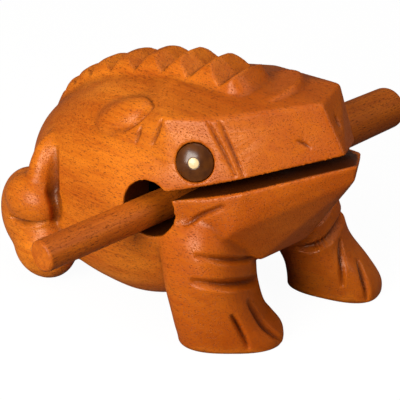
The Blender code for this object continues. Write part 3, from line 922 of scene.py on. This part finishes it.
def measure_skin(obj: bpy.types.Object) -> None:
    """Stores how hollow, how sharp and how much end grain each point of the skin is.

    Args:
        obj: A plain mesh in metres, whose wood runs along Y.
    """
    mesh = obj.data
    places, normals = read_skin(mesh)
    count = len(places)
    ends = np.empty(len(mesh.edges) * 2, np.int64)
    mesh.edges.foreach_get("vertices", ends)
    first = np.concatenate([ends[0::2], ends[1::2]])
    second = np.concatenate([ends[1::2], ends[0::2]])
    degree = np.maximum(np.bincount(first, minlength=count), 1)

    def averaged(values: np.ndarray, times: int) -> np.ndarray:
        """Each point's values averaged with its neighbours', a number of times."""
        for _ in range(times):
            columns = [np.bincount(first, weights=values[second, k], minlength=count) / degree
                       for k in range(values.shape[1])]
            values = 0.5 * values + 0.5 * np.stack(columns, 1)
        return values

    close = averaged(places, CLOSE_TURNS)
    wide = averaged(close, WIDE_TURNS)
    fine = ((close - places) * normals).sum(1) / MM
    broad = ((wide - places) * normals).sum(1) / MM
    # A hollow lies below the mean of its surroundings and an edge above it, so each has its own sign.
    # The wood gets painted shade where the skin is hollow, and lighter worn sharp edges.
    measured = {
        "hollow": np.clip(0.9 * fine + 0.55 * np.maximum(broad, 0.0), 0.0, 1.0) ** 0.8,
        "edge": np.clip(-1.6 * fine - 0.15, 0.0, 1.0),
        "end_grain": np.abs(averaged(normals, GRAIN_TURNS)[:, 1]) ** 1.5,
    }
    for name, values in measured.items():
        store(mesh, name, averaged(values[:, None], EVEN_TURNS)[:, 0])


def lathe(name: str, profile: list[tuple[float, float]], place: Matrix, steps: int = 96
          ) -> bpy.types.Object:
    """Turns a profile round the Z axis and sets it in place.

    Args:
        name: The piece's name.
        profile: Points as radius and height in millimetres, from axis to axis.
        place: Where it stands, in millimetres in the carver's frame.
        steps: How many steps the turn has.

    Returns:
        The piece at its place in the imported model's frame.
    """
    bm = bmesh.new()
    verts = [bm.verts.new((radius, 0.0, height)) for radius, height in profile]
    edges = [bm.edges.new(pair) for pair in zip(verts, verts[1:])]
    bmesh.ops.spin(bm, geom=verts + edges, cent=(0.0, 0.0, 0.0), axis=(0.0, 0.0, 1.0),
                   angle=2.0 * math.pi, steps=steps, use_merge=True)
    bmesh.ops.remove_doubles(bm, verts=bm.verts, dist=1e-4)
    in_frame = Matrix.Scale(MM, 4) @ Matrix.Translation(-BOX_MIDDLE) @ place
    bmesh.ops.transform(bm, matrix=in_frame, verts=bm.verts)
    bmesh.ops.recalc_face_normals(bm, faces=bm.faces)
    mesh = bpy.data.meshes.new(name)
    bm.to_mesh(mesh)
    bm.free()
    mesh.shade_smooth()
    return add_object(name, mesh)


@dataclass
class Eye:
    """A dark domed disc with a pale pin, let into the head."""

    side: Side
    centre: Place = (30.2, -20.3, 70.6)
    facing: Place = (0.86, -0.42, 0.29)
    diameter: float = 13.6
    dome: float = 2.0
    depth: float = 4.0
    sunk: float = 0.9
    pin_diameter: float = 3.9
    pin_depth: float = 2.0
    seat_gap: float = 0.3
    socket_rise: float = 6.0
    rim_ease: float = 0.35
    pin_rise: float = 0.06
    pin_gap: float = 0.02
    pin_seat: float = 0.05
    dome_steps: int = 16
    pin_steps: int = 8

    def place(self) -> Matrix:
        """Where the eye's axis meets the face of the head."""
        return Matrix.Translation(at(self.centre, self.side)) @ turned_to(at(self.facing, self.side))

    def height(self, radius: float) -> float:
        """Height of the domed top at a radius, from the face of the head."""
        return self.dome * (1.0 - (2.0 * radius / self.diameter) ** 2) - self.sunk

    def socket(self) -> bpy.types.Object:
        """The cutter that makes the eye's recess."""
        clay = Clay()
        depth = self.depth + self.seat_gap
        radius = 0.5 * self.diameter + self.seat_gap
        middle = Matrix.Translation((0.0, 0.0, 0.5 * (self.socket_rise - depth)))
        clay.disc(radius, radius, depth + self.socket_rise, self.place() @ middle)
        return clay.to_object("socket_" + self.side.name.lower())

    def disc(self) -> bpy.types.Object:
        """The dark disc, its rim eased."""
        rim = 0.5 * self.diameter
        well = 0.5 * self.pin_diameter + self.pin_gap
        floor = self.height(0.0) - self.pin_depth
        profile = [(0.0, floor), (well, floor)]
        for i in range(self.dome_steps + 1):
            radius = well + (rim - self.rim_ease - well) * i / self.dome_steps
            profile.append((radius, self.height(radius)))
        edge = self.height(rim - self.rim_ease)
        profile += [(rim - 0.1, edge - 0.15), (rim, edge - 0.45), (rim, -self.depth), (0.0, -self.depth)]
        return lathe(self.side.name.lower() + "_eye_disc", profile, self.place())

    def pin(self) -> bpy.types.Object:
        """The pale pin in the disc's middle."""
        rim = 0.5 * self.pin_diameter
        floor = self.height(0.0) - self.pin_depth + self.pin_seat
        profile = [(0.0, floor), (rim, floor), (rim, self.height(rim) - self.pin_gap)]
        for i in range(1, self.pin_steps + 1):
            radius = rim * (1.0 - i / self.pin_steps)
            rise = self.pin_rise * math.sin(0.5 * math.pi * i / self.pin_steps)
            profile.append((radius, self.height(radius) + rise))
        return lathe(self.side.name.lower() + "_eye_pin", profile, self.place(), 48)


class BeaterTree(Tree):
    """Turns a beater along a line: a handle that swells into a head and ends in a rounded tip."""

    def __init__(self) -> None:
        """Builds the tree."""
        super().__init__("Beater")
        for name in ("Handle Radius", "Head Radius", "Tip Radius", "Head Start", "Taper", "End Ease",
                     "Tip Ease", "Length"):
            self.size(name, "NodeSocketFloat")
        self.size("Rings", "NodeSocketInt")
        self.size("Sides", "NodeSocketInt")
        self.size("Finish", "NodeSocketMaterial")
        line = self.node("GeometryNodeResampleCurve")
        self.link(self.start.outputs["Geometry"], line.inputs["Curve"])
        self.link(self.start.outputs["Rings"], line.inputs["Count"])
        along = self.node("GeometryNodeSplineParameter").outputs["Length"]
        sizes = self.start.outputs
        taper_start = self.math("SUBTRACT", sizes["Head Start"], sizes["Taper"])
        swell = self.ramp(along, (taper_start, sizes["Head Start"]),
                          (sizes["Handle Radius"], sizes["Head Radius"]), "SMOOTHSTEP")
        shrink = self.ramp(along, (sizes["Head Start"], sizes["Length"]),
                           (sizes["Head Radius"], sizes["Tip Radius"]), "LINEAR")
        body = self.math("MINIMUM", swell, shrink)
        tip = self.rounding(self.math("SUBTRACT", sizes["Length"], along), sizes["Tip Ease"])
        end = self.rounding(along, sizes["End Ease"])
        radius = self.math("SUBTRACT", self.math("SUBTRACT", body, tip), end)
        sweep = self.node("GeometryNodeCurveToMesh")
        sweep.inputs["Fill Caps"].default_value = True
        ring = self.node("GeometryNodeCurvePrimitiveCircle")
        ring.inputs["Radius"].default_value = 1.0
        self.link(self.start.outputs["Sides"], ring.inputs["Resolution"])
        self.link(line.outputs["Curve"], sweep.inputs["Curve"])
        self.link(ring.outputs["Curve"], sweep.inputs["Profile Curve"])
        self.link(radius, sweep.inputs["Scale"])
        self.close(sweep.outputs["Mesh"])

    def ramp(self, value: Socket, span: tuple[Socket, Socket], results: tuple[Socket, Socket], shape: str
             ) -> Socket:
        """Maps a value between two pairs of limits.

        Args:
            value: What is mapped.
            span: Where the ramp starts and ends.
            results: What it gives at its start and at its end.
            shape: LINEAR or SMOOTHSTEP.

        Returns:
            The mapped value.
        """
        node = self.node("ShaderNodeMapRange", interpolation_type=shape)
        names = ("Value", "From Min", "From Max", "To Min", "To Max")
        for source, name in zip((value, *span, *results), names):
            self.link(source, node.inputs[name])
        return node.outputs["Result"]

    def rounding(self, distance: Socket, ease: Socket) -> Socket:
        """How much the radius loses near an end, as a quarter circle of the ease."""
        short = self.math("MAXIMUM", self.math("SUBTRACT", ease, distance), 0.0)
        whole = self.math("MULTIPLY", ease, ease)
        root = self.node("ShaderNodeMath", operation="SQRT")
        self.link(self.math("SUBTRACT", whole, self.math("MULTIPLY", short, short)), root.inputs[0])
        return self.math("SUBTRACT", ease, root.outputs[0])


@dataclass
class Beater:
    """The turned stick that lies in the cheek hole."""

    length: float = 180.0
    handle_diameter: float = 11.6
    head_diameter: float = 18.0
    tip_diameter: float = 16.5
    head_length: float = 48.0
    taper_length: float = 7.0
    tip_rounding: float = 5.0
    end_rounding: float = 0.9
    end_place: Place = (-83.2, 2.4, 46.9)
    yaw: float = -5.2
    rise: float = 0.1
    rings: int = 361
    sides: int = 72

    def build(self, finish: bpy.types.Material) -> bpy.types.Object:
        """Turns the beater with Geometry Nodes.

        Args:
            finish: Its wood.

        Returns:
            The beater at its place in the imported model's frame.
        """
        yaw = math.radians(self.yaw)
        rise = math.radians(self.rise)
        level = math.cos(rise)
        heading = Vector((math.cos(yaw) * level, math.sin(yaw) * level, math.sin(rise)))
        start = at(self.end_place) - BOX_MIDDLE
        curve = bpy.data.curves.new("beater", "CURVE")
        curve.dimensions = "3D"
        spline = curve.splines.new("POLY")
        spline.points.add(1)
        spline.points[0].co = (*(start * MM), 1.0)
        spline.points[1].co = (*((start + heading * self.length) * MM), 1.0)
        line = add_object("beater_line", curve)
        BeaterTree().put_on(line, {
            "Handle Radius": 0.5 * self.handle_diameter * MM,
            "Head Radius": 0.5 * self.head_diameter * MM,
            "Tip Radius": 0.5 * self.tip_diameter * MM,
            "Head Start": (self.length - self.head_length) * MM,
            "Taper": self.taper_length * MM,
            "End Ease": self.end_rounding * MM,
            "Tip Ease": self.tip_rounding * MM,
            "Length": self.length * MM,
            "Rings": self.rings,
            "Sides": self.sides,
            "Finish": finish,
        })
        graph = bpy.context.evaluated_depsgraph_get()
        mesh = bpy.data.meshes.new_from_object(line.evaluated_get(graph), depsgraph=graph)
        mesh.name = "beater"
        bpy.data.objects.remove(line, do_unlink=True)
        bpy.data.curves.remove(curve)
        mesh.shade_smooth()
        return add_object("beater", mesh)


def linear(red: int, green: int, blue: int) -> Colour:
    """A colour as the eye names it, 0 to 255, in the light's own scale."""
    return tuple(
        value / 12.92 if value <= 0.04045 else ((value + 0.055) / 1.055) ** 2.4
        for value in (red / 255, green / 255, blue / 255)
    )


class Paint(NodeWork):
    """A material under construction."""

    def __init__(self, name: str) -> None:
        """Starts a material with a plain shader."""
        self.material = bpy.data.materials.new(name)
        self.material.use_nodes = True
        super().__init__(self.material.node_tree)
        self.shader = self.tree.nodes["Principled BSDF"]

    def set(self, **values: float | Colour) -> None:
        """Sets the shader's inputs, named with _ for each space: a number, or a colour."""
        for name, value in values.items():
            whole = (*value, 1.0) if isinstance(value, tuple) else value
            self.shader.inputs[name.replace("_", " ")].default_value = whole

    def coordinates(self, turn: Place, stretch: Place) -> Socket:
        """Object coordinates, turned and then stretched.

        Args:
            turn: Turn about X, Y and Z in degrees.
            stretch: Scale along X, Y and Z.

        Returns:
            The coordinates.
        """
        source = self.node("ShaderNodeTexCoord")
        turned = self.node("ShaderNodeMapping")
        turned.inputs["Rotation"].default_value = [math.radians(a) for a in turn]
        scaled = self.node("ShaderNodeMapping")
        scaled.inputs["Scale"].default_value = stretch
        self.link(source.outputs["Object"], turned.inputs["Vector"])
        self.link(turned.outputs["Vector"], scaled.inputs["Vector"])
        return scaled.outputs["Vector"]

    def noise(self, where: Socket, scale: float, detail: float = 3.0, rough: float = 0.55) -> Socket:
        """Cloudy noise from 0 to 1."""
        node = self.node("ShaderNodeTexNoise")
        node.inputs["Scale"].default_value = scale
        node.inputs["Detail"].default_value = detail
        node.inputs["Roughness"].default_value = rough
        self.link(where, node.inputs["Vector"])
        return node.outputs["Fac"]

    def ramp(self, value: Socket, low: float, high: float, bottom: float = 0.0,
             top: float = 1.0) -> Socket:
        """Maps a value smoothly between two pairs of limits."""
        node = self.node("ShaderNodeMapRange", interpolation_type="SMOOTHSTEP")
        self.link(value, node.inputs["Value"])
        for name, number in (("From Min", low), ("From Max", high), ("To Min", bottom), ("To Max", top)):
            node.inputs[name].default_value = number
        return node.outputs["Result"]

    def mix(self, share: Socket | float, first: Socket | Colour, second: Socket | Colour) -> Socket:
        """Mixes two colours.

        Args:
            share: How much of the second, 0 to 1.
            first: A colour or a socket.
            second: A colour or a socket.

        Returns:
            The mixed colour.
        """
        node = self.node("ShaderNodeMix", data_type="RGBA")
        for value, name in ((share, "Factor"), (first, "A"), (second, "B")):
            socket = node.inputs[name]
            if isinstance(value, Socket):
                self.link(value, socket)
            elif isinstance(value, tuple):
                socket.default_value = (*value, 1.0)
            else:
                socket.default_value = value
        return node.outputs["Result"]

    def marked(self, name: str, share: float) -> Socket:
        """A share of a number that is stored on the mesh."""
        stored = self.node("ShaderNodeAttribute", attribute_name=name).outputs["Fac"]
        return self.math("MULTIPLY", stored, share)

    def bump(self, height: Socket, distance: float, strength: float) -> None:
        """Raises the surface by a height pattern."""
        node = self.node("ShaderNodeBump")
        node.inputs["Strength"].default_value = strength
        node.inputs["Distance"].default_value = distance
        self.link(height, node.inputs["Height"])
        self.link(node.outputs["Normal"], self.shader.inputs["Normal"])


@dataclass(frozen=True)
class WaxedWood:
    """Waxed hardwood with short dark pores along its grain."""

    name: str
    pale: Colour
    deep: Colour
    pore: Colour
    # Painted shade in hollows, creases and knife grooves.
    painted_crevice_shade: Colour
    # Painted shade towards the head, standing in for the shade on its sides.
    painted_head_shade: Colour = (0.4, 0.06, 0.001)
    # Painted shade, nearly black, inside the mouth slot, the cheek hole and the hollow.
    painted_inner_shade: Colour = (0.03, 0.006, 0.001)
    turn: Place = (3.0, 0.0, 4.0)
    along: int = 1
    pore_scale: float = 1850.0
    pore_stretch: float = 0.2
    fleck_scale: float = 2900.0
    fleck_stretch: float = 0.34
    head_shade_span: tuple[float, float] = (0.004, -0.032)
    head_shade_share: float = 0.6
    roughness: float = 0.32
    carved: bool = True
    pore_share: float = 0.6

    def stretch(self, share: float) -> Place:
        """Scale that draws a pattern out along the grain."""
        scale = [1.0, 1.0, 1.0]
        scale[self.along] = share
        return (scale[0], scale[1], scale[2])

    def figure(self, paint: Paint, share: float, scale: float, detail: float, rough: float = 0.55
               ) -> Socket:
        """Cloudy noise from 0 to 1, drawn out along the grain where its share is small."""
        return paint.noise(paint.coordinates(self.turn, self.stretch(share)), scale, detail, rough)

    def pores(self, paint: Paint, scale: float, stretch: float, fewest: float, most: float) -> Socket:
        """Short dark dashes along the grain.

        Args:
            paint: The material under construction.
            scale: How many cells a metre holds across the grain.
            stretch: How far the cells are drawn out along it.
            fewest: The lot below which a cell stays empty.
            most: The lot from which its dash is fully dark.

        Returns:
            How dark each point is, 0 to 1.
        """
        cells = paint.node("ShaderNodeTexVoronoi")
        cells.inputs["Scale"].default_value = scale
        cells.inputs["Randomness"].default_value = 1.0
        paint.link(paint.coordinates(self.turn, self.stretch(stretch)), cells.inputs["Vector"])
        spot = paint.ramp(cells.outputs["Distance"], 0.14, 0.42, 1.0, 0.0)
        lot = paint.node("ShaderNodeSeparateColor")
        paint.link(cells.outputs["Color"], lot.inputs["Color"])
        return paint.math("MULTIPLY", spot, paint.ramp(lot.outputs["Red"], fewest, most))

    def make(self) -> bpy.types.Material:
        """Builds the material: clouds, streaks and fibre, painted shade towards the head on a carving,
        then the pores, and on a carving its marks: darker end grain, painted shade in hollows, knife
        grooves and openings, and lighter worn edges.
        """
        paint = Paint(self.name)
        broad = self.figure(paint, share=0.22, scale=42.0, detail=3.0)
        streak = self.figure(paint, share=0.07, scale=330.0, detail=4.0, rough=0.6)
        fibre = self.figure(paint, share=0.05, scale=1500.0, detail=2.0, rough=0.6)
        colour = paint.mix(paint.ramp(broad, 0.32, 0.68), self.deep, self.pale)
        colour = paint.mix(paint.ramp(streak, 0.35, 0.7, top=0.7), colour, self.deep)
        colour = paint.mix(paint.ramp(fibre, 0.3, 0.75, top=0.4), colour, self.pale)
        if self.carved:
            # Painted shade: the wood is darker towards the head, standing in for the shade on the head's
            # sides.
            places = paint.node("ShaderNodeSeparateXYZ")
            paint.link(paint.coordinates(NO_TURN, NO_STRETCH), places.inputs["Vector"])
            starts, full = self.head_shade_span
            head = paint.ramp(places.outputs["Y"], full, starts, bottom=self.head_shade_share, top=0.0)
            colour = paint.mix(head, colour, self.painted_head_shade)
        fleck = self.pores(paint, self.fleck_scale, self.fleck_stretch, fewest=0.05, most=0.6)
        pore = self.pores(paint, self.pore_scale, self.pore_stretch, fewest=0.25, most=0.75)
        for dashes in (fleck, pore):
            colour = paint.mix(paint.math("MULTIPLY", dashes, self.pore_share), colour, self.pore)
        if self.carved:
            # Darker end grain and lighter worn edges are the wood's own; the hollow, knife and inner
            # marks are painted shade.
            for name, share, tint in (("end_grain", 0.38, self.deep), ("hollow", 0.85, self.painted_crevice_shade),
                                      ("knife", 0.6, self.painted_crevice_shade), ("edge", 0.3, self.pale),
                                      ("inner", 0.9, self.painted_inner_shade)):
                colour = paint.mix(paint.marked(name, share), colour, tint)
        paint.link(colour, paint.shader.inputs["Base Color"])
        rough = paint.ramp(streak, 0.2, 0.8, self.roughness - 0.06, self.roughness + 0.1)
        dull = paint.math("MULTIPLY", paint.math("ADD", pore, fleck), 0.22)
        paint.link(paint.math("ADD", rough, dull), paint.shader.inputs["Roughness"])
        paint.set(Specular_IOR_Level=0.33, Specular_Tint=(1.0, 0.8, 0.62), Coat_Weight=0.04,
                  Coat_Roughness=0.26, Coat_Tint=(1.0, 0.97, 0.92))
        sunk = paint.math("ADD", pore, paint.math("MULTIPLY", fleck, 0.8))
        relief = paint.math("SUBTRACT", paint.math("MULTIPLY", fibre, 0.35), sunk)
        paint.bump(relief, distance=0.0001, strength=1.0)
        return paint.material


@dataclass(frozen=True)
class PolishedDisc:
    """Polished dark resin or pale bone, with faint clouds in it."""

    name: str
    colour: Colour
    cloud: Colour
    roughness: float
    coat: float

    def make(self) -> bpy.types.Material:
        """Builds the material."""
        paint = Paint(self.name)
        clouds = paint.noise(paint.coordinates(NO_TURN, NO_STRETCH), 260.0)
        colour = paint.mix(paint.ramp(clouds, 0.3, 0.75), self.colour, self.cloud)
        paint.link(colour, paint.shader.inputs["Base Color"])
        paint.set(Roughness=self.roughness, Coat_Weight=self.coat, Coat_Roughness=0.14)
        paint.bump(clouds, distance=0.00002, strength=0.3)
        return paint.material


class CameraTree(NodeWork):
    """A shader tree that shows the camera something else than it gives the light."""

    def __init__(self, tree: bpy.types.NodeTree, ending: str) -> None:
        """Empties a tree and gives it an output node of a kind."""
        super().__init__(tree)
        tree.nodes.clear()
        self.ending = self.node(ending)

    def close(self, lit: Socket, seen: Socket, share: float) -> None:
        """Ends the tree.

        Args:
            lit: What the light meets.
            seen: What the camera sees.
            share: How much of the second the camera sees.
        """
        rays = self.node("ShaderNodeLightPath")
        blend = self.node("ShaderNodeMixShader")
        self.link(self.math("MULTIPLY", rays.outputs["Is Camera Ray"], share), blend.inputs["Fac"])
        self.link(lit, blend.inputs[1])
        self.link(seen, blend.inputs[2])
        self.link(blend.outputs["Shader"], self.ending.inputs["Surface"])


@dataclass(frozen=True)
class PaleFloor:
    """A white floor that shows white to the camera and keeps a soft shadow."""

    name: str = "pale_floor"
    albedo: float = 0.15
    glow: float = 0.6
    white: float = 1.6

    def make(self) -> bpy.types.Material:
        """Builds the material."""
        material = bpy.data.materials.new(self.name)
        material.use_nodes = True
        work = CameraTree(material.node_tree, "ShaderNodeOutputMaterial")
        plain = work.node("ShaderNodeBsdfDiffuse")
        plain.inputs["Color"].default_value = (self.albedo, self.albedo, self.albedo, 1.0)
        white = work.node("ShaderNodeEmission")
        white.inputs["Strength"].default_value = self.white
        work.close(plain.outputs["BSDF"], white.outputs["Emission"], self.glow)
        return material


@dataclass
class Lamp:
    """A soft square lamp aimed at the frog."""

    name: str
    direction: Place
    distance: float
    size: float
    power: float
    colour: Colour

    def build(self) -> None:
        """Hangs the lamp."""
        data = bpy.data.lights.new(self.name, "AREA")
        data.shape = "SQUARE"
        data.size = self.size
        data.energy = self.power
        data.color = self.colour
        obj = add_object(self.name, data)
        direction = Vector(self.direction).normalized()
        obj.location = direction * self.distance + FROG_MIDDLE
        obj.rotation_mode = "QUATERNION"
        obj.rotation_quaternion = (-direction).to_track_quat("-Z", "Y")


@dataclass
class Studio:
    """Floor, lamps, world and the camera at the photograph's angle."""

    lamps: list[Lamp] = field(default_factory=lambda: [
        Lamp("key_left", (-0.94, -0.03, 0.36),
             distance=0.75, size=0.45, power=6.4, colour=(1.0, 0.96, 0.9)),
        Lamp("top_soft", (0.05, -0.1, 1.0),
             distance=0.8, size=0.8, power=2.0, colour=(1.0, 0.97, 0.93)),
        Lamp("front_fill", (0.25, -1.0, 0.8),
             distance=1.0, size=0.6, power=2.6, colour=(1.0, 0.95, 0.88)),
    ])
    sky: float = 0.12
    azimuth: float = -48.0
    elevation: float = 28.0
    camera_place: Place = (-440.0, -392.0, 350.2)
    focal: float = 160.83
    floor_size: float = 6.0
    floor_gap: float = 0.0002

    def build(self) -> None:
        """Sets up everything round the frog."""
        bpy.context.scene.view_settings.view_transform = "Standard"
        for lamp in self.lamps:
            lamp.build()
        self.build_world()
        self.build_floor()
        self.build_camera()

    def build_world(self) -> None:
        """A plain world: an even sky for the light, and white to the camera."""
        world = bpy.data.worlds.new("studio")
        world.use_nodes = True
        work = CameraTree(world.node_tree, "ShaderNodeOutputWorld")
        even = work.node("ShaderNodeBackground")
        even.inputs["Strength"].default_value = self.sky
        white = work.node("ShaderNodeBackground")
        white.inputs["Strength"].default_value = 1.0
        work.close(even.outputs["Background"], white.outputs["Background"], 1.0)
        bpy.context.scene.world = world

    def build_floor(self) -> None:
        """A wide floor under the soles."""
        mesh = bpy.data.meshes.new("floor")
        half = 0.5 * self.floor_size
        corners = [(-half, -half, 0.0), (half, -half, 0.0), (half, half, 0.0), (-half, half, 0.0)]
        mesh.from_pydata(corners, [], [(0, 1, 2, 3)])
        floor = add_object("floor", mesh)
        floor.location.z = -self.floor_gap
        mesh.materials.append(PaleFloor().make())

    def build_camera(self) -> None:
        """The camera at the photograph's angle and distance."""
        azimuth = math.radians(self.azimuth)
        elevation = math.radians(self.elevation)
        level = math.cos(elevation)
        back = Vector((math.sin(azimuth) * level, -math.cos(azimuth) * level, math.sin(elevation)))
        data = bpy.data.cameras.new("camera")
        data.sensor_width = 36.0
        data.lens = self.focal
        data.clip_start = 0.01
        data.clip_end = 20.0
        camera = add_object("camera", data)
        camera.rotation_mode = "QUATERNION"
        camera.location = (Vector(self.camera_place) - BOX_MIDDLE) * MM
        camera.rotation_quaternion = (-back).to_track_quat("-Z", "Y")
        bpy.context.scene.camera = camera


# Its last three colours are painted shade: in hollows and knife grooves, towards the head, and inside the
# openings.
FROG_WOOD = WaxedWood(
    "waxed_orange_wood", pale=linear(242, 136, 32), deep=linear(184, 82, 8), pore=linear(100, 34, 0),
    painted_crevice_shade=linear(78, 24, 0), painted_head_shade=linear(172, 70, 2), painted_inner_shade=linear(46, 16, 2))
BEATER_WOOD = WaxedWood(
    "waxed_red_brown_wood", pale=linear(216, 112, 22), deep=linear(156, 64, 6), pore=linear(78, 24, 0),
    painted_crevice_shade=linear(60, 20, 4), turn=(0.0, 0.0, 5.2), along=0, carved=False, roughness=0.42)
EYE_DARK = PolishedDisc(
    "dark_resin", linear(72, 34, 4), linear(98, 52, 10), roughness=0.24, coat=0.15)
PIN_CREAM = PolishedDisc(
    "cream_resin", linear(240, 212, 160), linear(226, 186, 122), roughness=0.25, coat=0.3)


def present(piece: bpy.types.Object, node: str, finish: bpy.types.Material) -> None:
    """Dresses a finished piece and lets it stand for its node.

    Args:
        piece: The finished piece.
        node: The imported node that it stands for.
        finish: Its material.
    """
    piece.data.materials.clear()
    piece.data.materials.append(finish)
    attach(piece, "root")
    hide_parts(node)
    LOG.info("%s stands for %s with %d triangles", piece.name, node, triangles_in(piece.data))


def main() -> None:
    """Builds every piece in order and dresses it."""
    logging.basicConfig(level=logging.INFO, format="%(message)s")
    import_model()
    Studio().build()
    eyes = [Eye(side) for side in Side]
    present(FrogBody().build(eyes), "frog_body", FROG_WOOD.make())
    beater_finish = BEATER_WOOD.make()
    present(Beater().build(beater_finish), "striker_stick", beater_finish)
    dark = EYE_DARK.make()
    cream = PIN_CREAM.make()
    for eye in eyes:
        side = eye.side.name.lower()
        present(eye.disc(), side + "_eye", dark)
        present(eye.pin(), side + "_pupil", cream)


if __name__ == "__main__":
    main()
